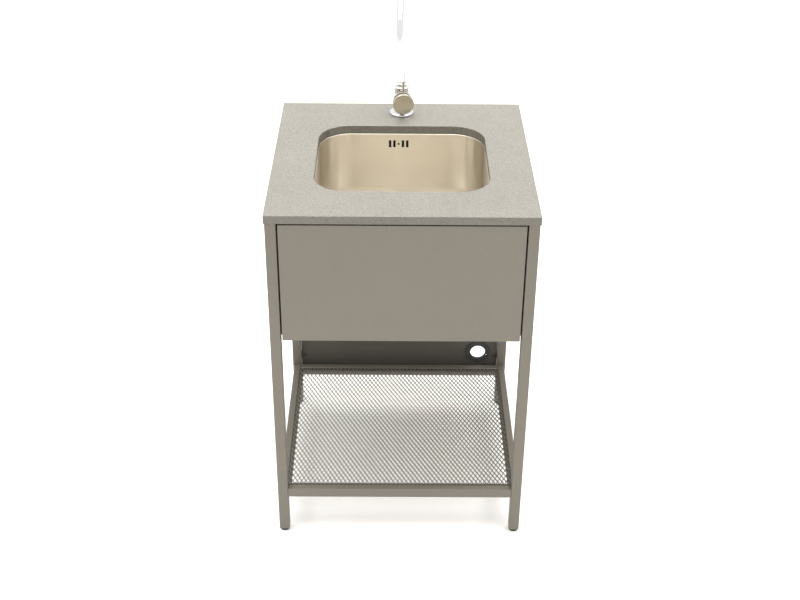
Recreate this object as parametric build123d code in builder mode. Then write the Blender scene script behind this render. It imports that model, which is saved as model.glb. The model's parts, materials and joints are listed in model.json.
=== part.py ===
"""Portable handwash sink: a stone worktop with an undermount bowl and a mixer tap, on a square-tube
frame with a fixed front panel, a back panel and an expanded-metal shelf.

Millimetres. X is to the right, Y to the back and Z up. The origin is on the floor, under the middle
of the worktop.
"""

from build123d import *
import math
import os

os.makedirs("parts", exist_ok=True)

# Driving dimensions --------------------------------------------------------------------------------

# Worktop
TOP_WIDTH = 600
TOP_DEPTH = 620
TOP_THICKNESS = 20
TOP_Z = 888
TOP_UNDER_Z = TOP_Z - TOP_THICKNESS
TOP_EDGE = 1.2

# Cut-out in the worktop and the bowl below it
CUTOUT_WIDTH = 400
CUTOUT_DEPTH = 361.5
CUTOUT_RADIUS = 78
CUTOUT_Y = -11.75
BOWL_REVEAL = 1.2
BOWL_SHEET = 1.2
BOWL_FLANGE = 16
BOWL_FLOOR_Z = 690
BOWL_FLOOR_RADIUS = 32
BOWL_RIM_RADIUS = 1.8
SEAL_THICKNESS = 1.5

# Frame
TUBE = 25
TUBE_WALL = 2
TUBE_CORNER = 2.5
FOOT_HEIGHT = 8
LEG_OUTER_X = 298
LEG_FRONT_Y = -308
LEG_REAR_Y = 260
SHELF_TUBE = 18
SHELF_WALL = 1.5
SHELF_TOP_Z = 134.5
SHELF_SIDE_OUTER_X = 294
LEDGE_WIDTH = 10
LEDGE_THICKNESS = 3
REAR_RAIL_TOP_Z = 805

# Expanded-metal shelf, drawn with one diamond for every three by three of the sheet's own
MESH_THICKNESS = 3
MESH_PITCH_X = 32.25
MESH_PITCH_Y = 64.8
MESH_STRAND = 6.9
MESH_BORDER = 3.0
MESH_GAP = 0.5

# Panels
PANEL_GAP = 3.5
FRONT_PANEL_SHEET = 2
FRONT_PANEL_LIP = 17
FRONT_PANEL_BOTTOM_Z = 568
FRONT_PANEL_TOP_Z = 864
BACK_PANEL_THICKNESS = 1.5
BACK_PANEL_Y = 244
BACK_PANEL_BOTTOM_Z = 112
GROMMET_X = 219
GROMMET_Z = 173

# Waste
DRAIN_Y = -12
DRAIN_HOLE_RADIUS = 44.5
PIPE_RADIUS = 20
PIPE_WALL = 1.8
TRAP_OUTLET_Z = 533
HOSE_RADIUS = 10.5
HOSE_BORE = 8.7
HOSE_Y = 182
HOSE_Z = 640
HOSE_BEND = 78

# Tap
TAP_Y = 249
TAP_HOLE_RADIUS = 17.5
TAP_BARREL_Z = 926
TAP_BARREL_RADIUS = 25
TAP_BARREL_REACH = 22
TAP_COLUMN_RADIUS = 20
TAP_COLUMN_TOP_Z = 962
SPOUT_RADIUS = 9
SPOUT_BORE = 7.5
SPOUT_REACH = 190
SPOUT_TOP_Z = 1238
SPOUT_OUTLET_Z = 1048
TAP_TURN = 6.5
SPOUT_TURN = -2.2

# Derived places ------------------------------------------------------------------------------------

LEG_X = LEG_OUTER_X - TUBE / 2
LEG_INNER_X = LEG_OUTER_X - TUBE
LEG_LENGTH = TOP_UNDER_Z - FOOT_HEIGHT
LEG_FRONT_CENTRE_Y = LEG_FRONT_Y + TUBE / 2
LEG_REAR_CENTRE_Y = LEG_REAR_Y - TUBE / 2
RAIL_FRONT_END_Y = LEG_FRONT_Y + TUBE
RAIL_REAR_END_Y = LEG_REAR_Y - TUBE
TOP_RAIL_Z = TOP_UNDER_Z - TUBE / 2

SHELF_RAIL_Z = SHELF_TOP_Z - TUBE / 2
SHELF_INNER_X = SHELF_SIDE_OUTER_X - SHELF_TUBE
SHELF_FRONT_INNER_Y = LEG_FRONT_Y + SHELF_TUBE
SHELF_REAR_INNER_Y = RAIL_REAR_END_Y - SHELF_TUBE
MESH_BOTTOM_Z = SHELF_TOP_Z - MESH_THICKNESS
LEDGE_BOTTOM_Z = MESH_BOTTOM_Z - LEDGE_THICKNESS

BOWL_WIDTH = CUTOUT_WIDTH - 2 * BOWL_REVEAL
BOWL_DEPTH = CUTOUT_DEPTH - 2 * BOWL_REVEAL
BOWL_RADIUS = CUTOUT_RADIUS - BOWL_REVEAL
BOWL_RIM_Z = TOP_UNDER_Z - SEAL_THICKNESS
BOWL_BACK_Y = CUTOUT_Y + BOWL_DEPTH / 2
FLANGE_WIDTH = BOWL_WIDTH + 2 * (BOWL_SHEET + BOWL_FLANGE)
FLANGE_DEPTH = BOWL_DEPTH + 2 * (BOWL_SHEET + BOWL_FLANGE)
FLANGE_RADIUS = BOWL_RADIUS + BOWL_SHEET + BOWL_FLANGE

# Small clearances: a running fit, and the space between threads that are drawn plain
RUNNING_FIT = 0.06
FIXED_FIT = 0.1
THREAD_GAP = 0.3


def upright(x, y, z):
    """A plane at (x, y, z) whose normal is +Z."""
    return Plane(origin=(x, y, z))


def rightward(x, y, z):
    """A plane at (x, y, z) whose normal is +X: its own x runs along +Y and its own y along +Z."""
    return Plane(origin=(x, y, z), x_dir=(0, 1, 0), z_dir=(1, 0, 0))


def backward(x, y, z):
    """A plane at (x, y, z) whose normal is +Y: its own x runs along -X and its own y along +Z."""
    return Plane(origin=(x, y, z), x_dir=(-1, 0, 0), z_dir=(0, 1, 0))


def frontward(x, y, z):
    """A plane at (x, y, z) whose normal is -Y: its own x runs along +X and its own y along +Z."""
    return Plane(origin=(x, y, z), x_dir=(1, 0, 0), z_dir=(0, -1, 0))


def turned(angle, ahead, z):
    """A plane across the direction that points away from the tap's upright axis, turned by the angle
    from the front, at the distance ahead of that axis and at z. Its normal points away from the axis.
    """
    forward = Vector(0, -1, 0).rotate(Axis.Z, angle)
    side = Vector(1, 0, 0).rotate(Axis.Z, angle)
    return Plane(origin=Vector(0, TAP_Y, z) + forward * ahead, x_dir=side, z_dir=forward)


def turned_level(angle, ahead, z):
    """The level plane at the same place, with the same own x and its normal up."""
    place = turned(angle, ahead, z)
    return Plane(origin=place.origin, x_dir=place.x_dir, z_dir=(0, 0, 1))


# Frame: square tubes ---------------------------------------------------------------------------------


def tube_part(name, plane, width, height, wall, length):
    """Writes one rectangular tube with rounded corners, which starts on the plane."""
    with BuildPart() as tube:
        with BuildSketch(plane):
            RectangleRounded(width, height, TUBE_CORNER)
            RectangleRounded(
                width - 2 * wall, height - 2 * wall, TUBE_CORNER / 2, mode=Mode.SUBTRACT
            )
        extrude(amount=length)
    tube.part.label = name
    export_step(tube.part, f"parts/{name}.step")


LEG_PLACES = {
    "front_left": (-LEG_X, LEG_FRONT_CENTRE_Y),
    "front_right": (LEG_X, LEG_FRONT_CENTRE_Y),
    "rear_left": (-LEG_X, LEG_REAR_CENTRE_Y),
    "rear_right": (LEG_X, LEG_REAR_CENTRE_Y),
}

for place, (x, y) in LEG_PLACES.items():
    tube_part(f"leg_{place}", upright(x, y, FOOT_HEIGHT), TUBE, TUBE, TUBE_WALL, LEG_LENGTH)

SIDE_RAIL_LENGTH = RAIL_REAR_END_Y - RAIL_FRONT_END_Y

for side, sign in (("left", -1), ("right", 1)):
    tube_part(
        f"top_rail_{side}",
        backward(sign * LEG_X, RAIL_FRONT_END_Y, TOP_RAIL_Z),
        TUBE,
        TUBE,
        TUBE_WALL,
        SIDE_RAIL_LENGTH,
    )
    tube_part(
        f"shelf_rail_{side}",
        backward(sign * (SHELF_SIDE_OUTER_X - SHELF_TUBE / 2), RAIL_FRONT_END_Y, SHELF_RAIL_Z),
        SHELF_TUBE,
        TUBE,
        SHELF_WALL,
        SIDE_RAIL_LENGTH,
    )

# The front top rail lies behind the front panel, between the two side rails.
tube_part(
    "top_rail_front",
    rightward(-LEG_INNER_X, RAIL_FRONT_END_Y + TUBE / 2, TOP_RAIL_Z),
    TUBE,
    TUBE,
    TUBE_WALL,
    2 * LEG_INNER_X,
)

# The rear rail joins the rear legs lower down, so that the tap's shank has room.
tube_part(
    "top_rail_rear",
    rightward(-LEG_INNER_X, LEG_REAR_CENTRE_Y, REAR_RAIL_TOP_Z - TUBE / 2),
    TUBE,
    TUBE,
    TUBE_WALL,
    2 * LEG_INNER_X,
)

tube_part(
    "shelf_rail_front",
    rightward(-LEG_INNER_X, LEG_FRONT_Y + SHELF_TUBE / 2, SHELF_RAIL_Z),
    SHELF_TUBE,
    TUBE,
    SHELF_WALL,
    2 * LEG_INNER_X,
)

# The rear shelf rail stands just in front of the rear legs, between the side rails.
tube_part(
    "shelf_rail_rear",
    rightward(-SHELF_INNER_X, RAIL_REAR_END_Y - SHELF_TUBE / 2, SHELF_RAIL_Z),
    SHELF_TUBE,
    TUBE,
    SHELF_WALL,
    2 * SHELF_INNER_X,
)

# Frame: leg plugs and levelling feet ------------------------------------------------------------------

PLUG_GAP = 0.2
PLUG_SIDE = TUBE - 2 * TUBE_WALL - 2 * PLUG_GAP
PLUG_CORNER = 1
PLUG_HEIGHT = 18
STUD_RADIUS = 4
STUD_LENGTH = 40
PAD_RADIUS = 12
PAD_LOWER_EDGE = 3
PAD_UPPER_EDGE = 1

with BuildPart() as leg_plugs:
    with BuildSketch(upright(0, 0, FOOT_HEIGHT)):
        with Locations(*LEG_PLACES.values()):
            RectangleRounded(PLUG_SIDE, PLUG_SIDE, PLUG_CORNER)
            Circle(STUD_RADIUS + RUNNING_FIT, mode=Mode.SUBTRACT)
    extrude(amount=PLUG_HEIGHT)
leg_plugs.part.label = "leg_plugs"
export_step(leg_plugs.part, "parts/leg_plugs.step")

for place, (x, y) in LEG_PLACES.items():
    with BuildPart() as foot:
        with BuildSketch(upright(x, y, 0)):
            Circle(PAD_RADIUS)
        extrude(amount=FOOT_HEIGHT)
        fillet(foot.edges().group_by(Axis.Z)[0], PAD_LOWER_EDGE)
        fillet(foot.edges().group_by(Axis.Z)[-1], PAD_UPPER_EDGE)
        with BuildSketch(upright(x, y, FOOT_HEIGHT)):
            Circle(STUD_RADIUS)
        extrude(amount=STUD_LENGTH)
    foot.part.label = f"levelling_foot_{place}"
    export_step(foot.part, f"parts/levelling_foot_{place}.step")

# Shelf: ledges and expanded metal ---------------------------------------------------------------------

LEDGE_FRONT_Y = SHELF_FRONT_INNER_Y + LEDGE_WIDTH
LEDGE_REAR_Y = SHELF_REAR_INNER_Y - LEDGE_WIDTH
LEDGE_SIDE_X = SHELF_INNER_X - LEDGE_WIDTH / 2

with BuildPart() as shelf_ledges:
    with BuildSketch(upright(0, 0, LEDGE_BOTTOM_Z)):
        with Locations((0, SHELF_FRONT_INNER_Y + LEDGE_WIDTH / 2)):
            Rectangle(2 * LEG_INNER_X, LEDGE_WIDTH)
        with Locations((0, SHELF_REAR_INNER_Y - LEDGE_WIDTH / 2)):
            Rectangle(2 * SHELF_INNER_X, LEDGE_WIDTH)
        with Locations(
            (-LEDGE_SIDE_X, (LEDGE_FRONT_Y + LEDGE_REAR_Y) / 2),
            (LEDGE_SIDE_X, (LEDGE_FRONT_Y + LEDGE_REAR_Y) / 2),
        ):
            Rectangle(LEDGE_WIDTH, LEDGE_REAR_Y - LEDGE_FRONT_Y)
    extrude(amount=LEDGE_THICKNESS)
shelf_ledges.part.label = "shelf_ledges"
export_step(shelf_ledges.part, "parts/shelf_ledges.step")

MESH_X = SHELF_INNER_X - MESH_GAP
MESH_FRONT_Y = SHELF_FRONT_INNER_Y + MESH_GAP
MESH_REAR_Y = SHELF_REAR_INNER_Y - MESH_GAP
# The front corners are notched round the front legs.
NOTCH_X = LEG_INNER_X - MESH_GAP
NOTCH_Y = RAIL_FRONT_END_Y + MESH_GAP
MESH_OUTLINE = [
    (-NOTCH_X, MESH_FRONT_Y),
    (NOTCH_X, MESH_FRONT_Y),
    (NOTCH_X, NOTCH_Y),
    (MESH_X, NOTCH_Y),
    (MESH_X, MESH_REAR_Y),
    (-MESH_X, MESH_REAR_Y),
    (-MESH_X, NOTCH_Y),
    (-NOTCH_X, NOTCH_Y),
]

# Strands run along the sides of the diamonds, so the space between two of them sets the hole's size.
STRAND_SPACING = MESH_PITCH_X * MESH_PITCH_Y / 2 / math.hypot(MESH_PITCH_X / 2, MESH_PITCH_Y / 2)
HOLE_SHARE = 1 - MESH_STRAND / STRAND_SPACING
HOLE_HALF_X = MESH_PITCH_X / 2 * HOLE_SHARE
HOLE_HALF_Y = MESH_PITCH_Y / 2 * HOLE_SHARE


def mesh_hole_centres():
    """Centres of the diamond holes that fit inside the sheet: two grids, half a pitch apart."""
    middle_y = (MESH_FRONT_Y + MESH_REAR_Y) / 2
    columns = math.ceil(MESH_X / MESH_PITCH_X)
    rows = math.ceil((MESH_REAR_Y - MESH_FRONT_Y) / 2 / MESH_PITCH_Y)
    centres = []
    for shift in (0, 0.5):
        for column in range(-columns, columns + 1):
            for row in range(-rows, rows + 1):
                x = (column + shift) * MESH_PITCH_X
                y = middle_y + (row + shift) * MESH_PITCH_Y
                inside_x = abs(x) + HOLE_HALF_X + MESH_BORDER < NOTCH_X
                inside_y = MESH_FRONT_Y + MESH_BORDER < y - HOLE_HALF_Y
                if inside_x and inside_y and y + HOLE_HALF_Y + MESH_BORDER < MESH_REAR_Y:
                    centres.append((x, y))
    return centres


def diamond(x, y, z):
    """The closed outline of one hole."""
    corners = [
        (x - HOLE_HALF_X, y, z),
        (x, y - HOLE_HALF_Y, z),
        (x + HOLE_HALF_X, y, z),
        (x, y + HOLE_HALF_Y, z),
    ]
    return Wire.make_polygon(corners, close=True)


mesh_rim = Wire.make_polygon([(x, y, MESH_BOTTOM_Z) for x, y in MESH_OUTLINE], close=True)
mesh_face = Face(mesh_rim, [diamond(x, y, MESH_BOTTOM_Z) for x, y in mesh_hole_centres()])

with BuildPart() as shelf_mesh:
    extrude(mesh_face, amount=MESH_THICKNESS, dir=(0, 0, 1), clean=False)
shelf_mesh.part.label = "shelf_mesh"
export_step(shelf_mesh.part, "parts/shelf_mesh.step")

# Front panel: a folded tray between the front legs, its mounting strips and nuts ----------------------

FRONT_PANEL_WIDTH = 2 * (LEG_INNER_X - PANEL_GAP)
FRONT_PANEL_HEIGHT = FRONT_PANEL_TOP_Z - FRONT_PANEL_BOTTOM_Z
FRONT_PANEL_Z = (FRONT_PANEL_TOP_Z + FRONT_PANEL_BOTTOM_Z) / 2
FRONT_PANEL_BACK_Y = LEG_FRONT_Y + TUBE
FRONT_PANEL_CORNER = 1.5
FRONT_PANEL_EDGE = 0.8
BRACKET_SHEET = 3
BRACKET_INNER_X = 251
BRACKET_OUTER_X = 290
BRACKET_TOP_GAP = 1
BRACKET_HEIGHT = TOP_RAIL_Z - TUBE / 2 - BRACKET_TOP_GAP - FRONT_PANEL_BOTTOM_Z
FRONT_STUD_LENGTH = 12
STUD_M5 = 2.5
NUT_M5_RADIUS = 4.6
NUT_M5_HEIGHT = 4
STUD_X = 260
FRONT_FIXING_Z = (600, 806)
FRONT_FIXINGS = [(x, z) for x in (-STUD_X, STUD_X) for z in FRONT_FIXING_Z]

with BuildPart() as front_panel:
    with BuildSketch(frontward(0, FRONT_PANEL_BACK_Y, FRONT_PANEL_Z)):
        RectangleRounded(FRONT_PANEL_WIDTH, FRONT_PANEL_HEIGHT, FRONT_PANEL_CORNER)
    extrude(amount=TUBE)
    fillet(front_panel.edges().group_by(Axis.Y)[0], FRONT_PANEL_EDGE)
    with BuildSketch(frontward(0, FRONT_PANEL_BACK_Y - FRONT_PANEL_SHEET, FRONT_PANEL_Z)):
        Rectangle(FRONT_PANEL_WIDTH - 2 * FRONT_PANEL_SHEET, FRONT_PANEL_HEIGHT - 2 * FRONT_PANEL_SHEET)
    extrude(amount=TUBE - 2 * FRONT_PANEL_SHEET, mode=Mode.SUBTRACT)
    with BuildSketch(frontward(0, FRONT_PANEL_BACK_Y, FRONT_PANEL_Z)):
        Rectangle(FRONT_PANEL_WIDTH - 2 * FRONT_PANEL_LIP, FRONT_PANEL_HEIGHT - 2 * FRONT_PANEL_SHEET)
    extrude(amount=FRONT_PANEL_SHEET, mode=Mode.SUBTRACT)
    with BuildSketch(backward(0, FRONT_PANEL_BACK_Y - FRONT_PANEL_SHEET / 2, 0)):
        with Locations(*FRONT_FIXINGS):
            Circle(STUD_M5)
    extrude(amount=FRONT_STUD_LENGTH)
front_panel.part.label = "front_panel"
export_step(front_panel.part, "parts/front_panel.step")

# One flat strip behind each front leg, which also closes the gap beside the panel.
with BuildPart() as front_panel_brackets:
    with BuildSketch(upright(BRACKET_INNER_X, FRONT_PANEL_BACK_Y, FRONT_PANEL_BOTTOM_Z)):
        Rectangle(BRACKET_OUTER_X - BRACKET_INNER_X, BRACKET_SHEET, align=(Align.MIN, Align.MIN))
    extrude(amount=BRACKET_HEIGHT)
    with BuildSketch(backward(0, FRONT_PANEL_BACK_Y, 0)):
        with Locations(*[(-STUD_X, z) for z in FRONT_FIXING_Z]):
            Circle(STUD_M5 + FIXED_FIT)
    extrude(amount=BRACKET_SHEET, mode=Mode.SUBTRACT)
    mirror(about=Plane.YZ)
front_panel_brackets.part.label = "front_panel_brackets"
export_step(front_panel_brackets.part, "parts/front_panel_brackets.step")

with BuildPart() as front_panel_nuts:
    with BuildSketch(backward(0, FRONT_PANEL_BACK_Y + BRACKET_SHEET, 0)):
        with Locations(*FRONT_FIXINGS):
            RegularPolygon(NUT_M5_RADIUS, 6)
            Circle(STUD_M5 + FIXED_FIT, mode=Mode.SUBTRACT)
    extrude(amount=NUT_M5_HEIGHT)
front_panel_nuts.part.label = "front_panel_nuts"
export_step(front_panel_nuts.part, "parts/front_panel_nuts.step")

# Back panel, its tabs, screws and pipe grommet --------------------------------------------------------

BACK_PANEL_GAP = 0.5
BACK_PANEL_CORNER = 2
BACK_PANEL_TOP_Z = REAR_RAIL_TOP_Z - TUBE - 1
BACK_PANEL_WIDTH = 2 * (LEG_INNER_X - BACK_PANEL_GAP)
BACK_PANEL_REAR_Y = BACK_PANEL_Y + BACK_PANEL_THICKNESS
BACK_FIXING_X = 264
BACK_FIXING_Z = (161, 450, 740)
BACK_FIXINGS = [(side * BACK_FIXING_X, z) for side in (-1, 1) for z in BACK_FIXING_Z]
TAB_SHEET = 3
TAB_REACH = 18
TAB_HEIGHT = 24
SCREW_HEAD_RADIUS = 4.75
SCREW_HEAD_HEIGHT = 2.6
SCREW_HEAD_CROWN = 1.6
SCREW_SOCKET_RADIUS = 1.7
SCREW_SOCKET_DEPTH = 1.4
SCREW_LENGTH = 9
GROMMET_BORE = 20.8
GROMMET_NECK = 29.8
GROMMET_FLANGE = 34.5
GROMMET_LIP = 3
GROMMET_EDGE = 1.4
GROMMET_GAP = 0.2
GROMMET_SIDE_HOLE = 3
GROMMET_SIDE_PLACE = (-24, -10)

with BuildPart() as back_panel:
    with BuildSketch(backward(0, BACK_PANEL_Y, 0)):
        with Locations((0, (BACK_PANEL_TOP_Z + BACK_PANEL_BOTTOM_Z) / 2)):
            RectangleRounded(
                BACK_PANEL_WIDTH, BACK_PANEL_TOP_Z - BACK_PANEL_BOTTOM_Z, BACK_PANEL_CORNER
            )
        with Locations(*BACK_FIXINGS):
            Circle(STUD_M5 + FIXED_FIT, mode=Mode.SUBTRACT)
        with Locations((-GROMMET_X, GROMMET_Z)):
            Circle(GROMMET_NECK + GROMMET_GAP, mode=Mode.SUBTRACT)
    extrude(amount=BACK_PANEL_THICKNESS)
back_panel.part.label = "back_panel"
export_step(back_panel.part, "parts/back_panel.step")

with BuildPart() as back_panel_tabs:
    with BuildSketch(backward(0, BACK_PANEL_REAR_Y, 0)):
        with Locations(*[(-LEG_INNER_X + TAB_REACH / 2, z) for z in BACK_FIXING_Z]):
            Rectangle(TAB_REACH, TAB_HEIGHT)
        with Locations(*[(-BACK_FIXING_X, z) for z in BACK_FIXING_Z]):
            Circle(STUD_M5 + FIXED_FIT, mode=Mode.SUBTRACT)
    extrude(amount=TAB_SHEET)
    mirror(about=Plane.YZ)
back_panel_tabs.part.label = "back_panel_tabs"
export_step(back_panel_tabs.part, "parts/back_panel_tabs.step")

with BuildPart() as back_panel_screws:
    with BuildSketch(frontward(0, BACK_PANEL_Y, 0)):
        with Locations(*BACK_FIXINGS):
            Circle(SCREW_HEAD_RADIUS)
    extrude(amount=SCREW_HEAD_HEIGHT)
    fillet(back_panel_screws.edges().group_by(Axis.Y)[0], SCREW_HEAD_CROWN)
    with BuildSketch(frontward(0, BACK_PANEL_Y - SCREW_HEAD_HEIGHT, 0)):
        with Locations(*BACK_FIXINGS):
            RegularPolygon(SCREW_SOCKET_RADIUS, 6)
    extrude(amount=-SCREW_SOCKET_DEPTH, mode=Mode.SUBTRACT)
    with BuildSketch(backward(0, BACK_PANEL_Y, 0)):
        with Locations(*BACK_FIXINGS):
            Circle(STUD_M5)
    extrude(amount=SCREW_LENGTH)
back_panel_screws.part.label = "back_panel_screws"
export_step(back_panel_screws.part, "parts/back_panel_screws.step")

with BuildPart() as pipe_grommet:
    with BuildSketch(backward(GROMMET_X, BACK_PANEL_Y - GROMMET_LIP, GROMMET_Z)):
        Circle(GROMMET_FLANGE)
    extrude(amount=GROMMET_LIP)
    with BuildSketch(backward(GROMMET_X, BACK_PANEL_Y, GROMMET_Z)):
        Circle(GROMMET_NECK)
    extrude(amount=BACK_PANEL_THICKNESS)
    with BuildSketch(backward(GROMMET_X, BACK_PANEL_REAR_Y, GROMMET_Z)):
        Circle(GROMMET_FLANGE)
    extrude(amount=GROMMET_LIP)
    fillet(pipe_grommet.edges().group_by(Axis.Y)[0], GROMMET_EDGE)
    fillet(pipe_grommet.edges().group_by(Axis.Y)[-1], GROMMET_EDGE)
    with BuildSketch(backward(GROMMET_X, BACK_PANEL_Y - GROMMET_LIP, GROMMET_Z)):
        Circle(GROMMET_BORE)
        with Locations(GROMMET_SIDE_PLACE):
            Circle(GROMMET_SIDE_HOLE)
    extrude(amount=BACK_PANEL_THICKNESS + 2 * GROMMET_LIP, mode=Mode.SUBTRACT)
pipe_grommet.part.label = "pipe_grommet"
export_step(pipe_grommet.part, "parts/pipe_grommet.step")

# Stone worktop ----------------------------------------------------------------------------------------

CLIP_STUD_RADIUS = 2.5
CLIP_STUD_DEPTH = 12
CLIP_STUD_OFFSET = 13
SIDE_CLIPS_Y = (-105, 80)
END_CLIPS_X = (-110, 110)
CLIP_PLACES = [
    (side * (FLANGE_WIDTH / 2 + CLIP_STUD_OFFSET), y, 0 if side > 0 else 180)
    for side in (-1, 1)
    for y in SIDE_CLIPS_Y
] + [
    (x, CUTOUT_Y + side * (FLANGE_DEPTH / 2 + CLIP_STUD_OFFSET), 90 * side)
    for side in (-1, 1)
    for x in END_CLIPS_X
]
CLIP_STUDS = [(x, y) for x, y, turn in CLIP_PLACES]

with BuildPart() as stone_top:
    with BuildSketch(upright(0, 0, TOP_UNDER_Z)):
        Rectangle(TOP_WIDTH, TOP_DEPTH)
    extrude(amount=TOP_THICKNESS)
    chamfer(stone_top.edges().filter_by(Axis.Z), TOP_EDGE)
    with BuildSketch(upright(0, CUTOUT_Y, TOP_UNDER_Z)):
        RectangleRounded(CUTOUT_WIDTH, CUTOUT_DEPTH, CUTOUT_RADIUS)
    extrude(amount=TOP_THICKNESS, mode=Mode.SUBTRACT)
    with BuildSketch(upright(0, TAP_Y, TOP_UNDER_Z)):
        Circle(TAP_HOLE_RADIUS)
    extrude(amount=TOP_THICKNESS, mode=Mode.SUBTRACT)
    chamfer(stone_top.edges().group_by(Axis.Z)[-1], TOP_EDGE)
    with BuildSketch(upright(0, 0, TOP_UNDER_Z)):
        with Locations(*CLIP_STUDS):
            Circle(CLIP_STUD_RADIUS + FIXED_FIT)
    extrude(amount=CLIP_STUD_DEPTH, mode=Mode.SUBTRACT)
stone_top.part.label = "stone_top"
export_step(stone_top.part, "parts/stone_top.step")

# Bowl, its seal, clips and screws ---------------------------------------------------------------------

SEAL_INSET = 1

with BuildPart() as bowl_seal:
    with BuildSketch(upright(0, CUTOUT_Y, BOWL_RIM_Z)):
        RectangleRounded(
            FLANGE_WIDTH - 2 * SEAL_INSET,
            FLANGE_DEPTH - 2 * SEAL_INSET,
            FLANGE_RADIUS - SEAL_INSET,
        )
        RectangleRounded(
            CUTOUT_WIDTH + 2 * SEAL_INSET,
            CUTOUT_DEPTH + 2 * SEAL_INSET,
            CUTOUT_RADIUS + SEAL_INSET,
            mode=Mode.SUBTRACT,
        )
    extrude(amount=SEAL_THICKNESS)
bowl_seal.part.label = "bowl_seal"
export_step(bowl_seal.part, "parts/bowl_seal.step")

SLOPE_RADIUS = 135
SLOPE_DROP = 4
RECESS_RADIUS = 57.5
RECESS_DROP = 3.5
RECESS_LIP = 2
OVERFLOW_X = -7
OVERFLOW_Z = 840
OVERFLOW_PITCH = 10.6
SLOT_WIDTH = 6
SLOT_HEIGHT = 19
SLOT_CORNER = 0.8
SLOT_STEPS = (-2, -1, 1, 2)
OVERFLOW_SCREW_HOLE = 1.6


def bowl_space(grow):
    """The space inside the bowl, up to its rim, with every wall moved outwards by grow."""
    floor_z = BOWL_FLOOR_Z - grow
    with BuildPart(mode=Mode.PRIVATE) as space:
        with BuildSketch(upright(0, CUTOUT_Y, floor_z)):
            RectangleRounded(BOWL_WIDTH + 2 * grow, BOWL_DEPTH + 2 * grow, BOWL_RADIUS + grow)
        extrude(amount=BOWL_RIM_Z - floor_z)
        fillet(space.edges().group_by(Axis.Z)[0], BOWL_FLOOR_RADIUS + grow)
        with BuildSketch(upright(0, DRAIN_Y, floor_z)):
            Circle(SLOPE_RADIUS)
        with BuildSketch(upright(0, DRAIN_Y, floor_z - SLOPE_DROP)):
            Circle(RECESS_RADIUS + grow + RECESS_LIP)
        loft()
        with BuildSketch(upright(0, DRAIN_Y, floor_z - SLOPE_DROP)):
            Circle(RECESS_RADIUS + grow)
        extrude(amount=-RECESS_DROP)
    return space.part


bowl_outside = bowl_space(BOWL_SHEET)
bowl_inside = bowl_space(0)

with BuildPart() as sink_bowl:
    add(bowl_outside)
    with BuildSketch(upright(0, CUTOUT_Y, BOWL_RIM_Z)):
        RectangleRounded(FLANGE_WIDTH, FLANGE_DEPTH, FLANGE_RADIUS)
    extrude(amount=-BOWL_SHEET)
    add(bowl_inside, mode=Mode.SUBTRACT)
    inner_rim = sink_bowl.faces().sort_by(Axis.Z)[-1].inner_wires()[0].edges()
    fillet(inner_rim, BOWL_RIM_RADIUS)
    with BuildSketch(upright(0, DRAIN_Y, BOWL_FLOOR_Z)):
        Circle(DRAIN_HOLE_RADIUS)
    extrude(amount=-(SLOPE_DROP + RECESS_DROP + 2 * BOWL_SHEET), mode=Mode.SUBTRACT)
    with BuildSketch(backward(OVERFLOW_X, BOWL_BACK_Y - BOWL_SHEET, OVERFLOW_Z)):
        with Locations(*[(step * OVERFLOW_PITCH, 0) for step in SLOT_STEPS]):
            RectangleRounded(SLOT_WIDTH, SLOT_HEIGHT, SLOT_CORNER)
        Circle(OVERFLOW_SCREW_HOLE)
    extrude(amount=3 * BOWL_SHEET, mode=Mode.SUBTRACT)
sink_bowl.part.label = "sink_bowl"
export_step(sink_bowl.part, "parts/sink_bowl.step")

CLIP_SHEET = 2
CLIP_WIDTH = 20
CLIP_IN = 24
CLIP_OUT = 9
CLIP_CORNER = 2
CLIP_LIP = 3
CLIP_LIP_WIDTH = 15
CLIP_NUT_HEIGHT = 4
CLIP_STUD_END_GAP = 1
CLIP_TOP_Z = BOWL_RIM_Z - BOWL_SHEET

with BuildPart() as bowl_clips:
    for x, y, turn in CLIP_PLACES:
        inward = Vector(-1, 0, 0).rotate(Axis.Z, turn)
        clip_plane = Plane(origin=(x, y, CLIP_TOP_Z - CLIP_SHEET), x_dir=inward, z_dir=(0, 0, 1))
        with BuildSketch(clip_plane):
            with Locations(((CLIP_IN - CLIP_OUT) / 2, 0)):
                RectangleRounded(CLIP_IN + CLIP_OUT, CLIP_WIDTH, CLIP_CORNER)
            Circle(CLIP_STUD_RADIUS + THREAD_GAP, mode=Mode.SUBTRACT)
        extrude(amount=CLIP_SHEET)
        with BuildSketch(clip_plane.offset(CLIP_SHEET)):
            with Locations((-CLIP_OUT + CLIP_LIP / 2, 0)):
                Rectangle(CLIP_LIP, CLIP_LIP_WIDTH)
        extrude(amount=TOP_UNDER_Z - CLIP_TOP_Z)
bowl_clips.part.label = "bowl_clips"
export_step(bowl_clips.part, "parts/bowl_clips.step")

CLIP_SCREW_END_Z = TOP_UNDER_Z + CLIP_STUD_DEPTH - CLIP_STUD_END_GAP

with BuildPart() as clip_screws:
    with BuildSketch(upright(0, 0, CLIP_TOP_Z - CLIP_SHEET)):
        with Locations(*CLIP_STUDS):
            RegularPolygon(NUT_M5_RADIUS, 6)
    extrude(amount=-CLIP_NUT_HEIGHT)
    with BuildSketch(upright(0, 0, CLIP_TOP_Z - CLIP_SHEET)):
        with Locations(*CLIP_STUDS):
            Circle(CLIP_STUD_RADIUS)
    extrude(amount=CLIP_SCREW_END_Z - (CLIP_TOP_Z - CLIP_SHEET))
clip_screws.part.label = "clip_screws"
export_step(clip_screws.part, "parts/clip_screws.step")

# Overflow: housing behind the slots, its screw and the hose down to the drain -------------------------

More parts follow.
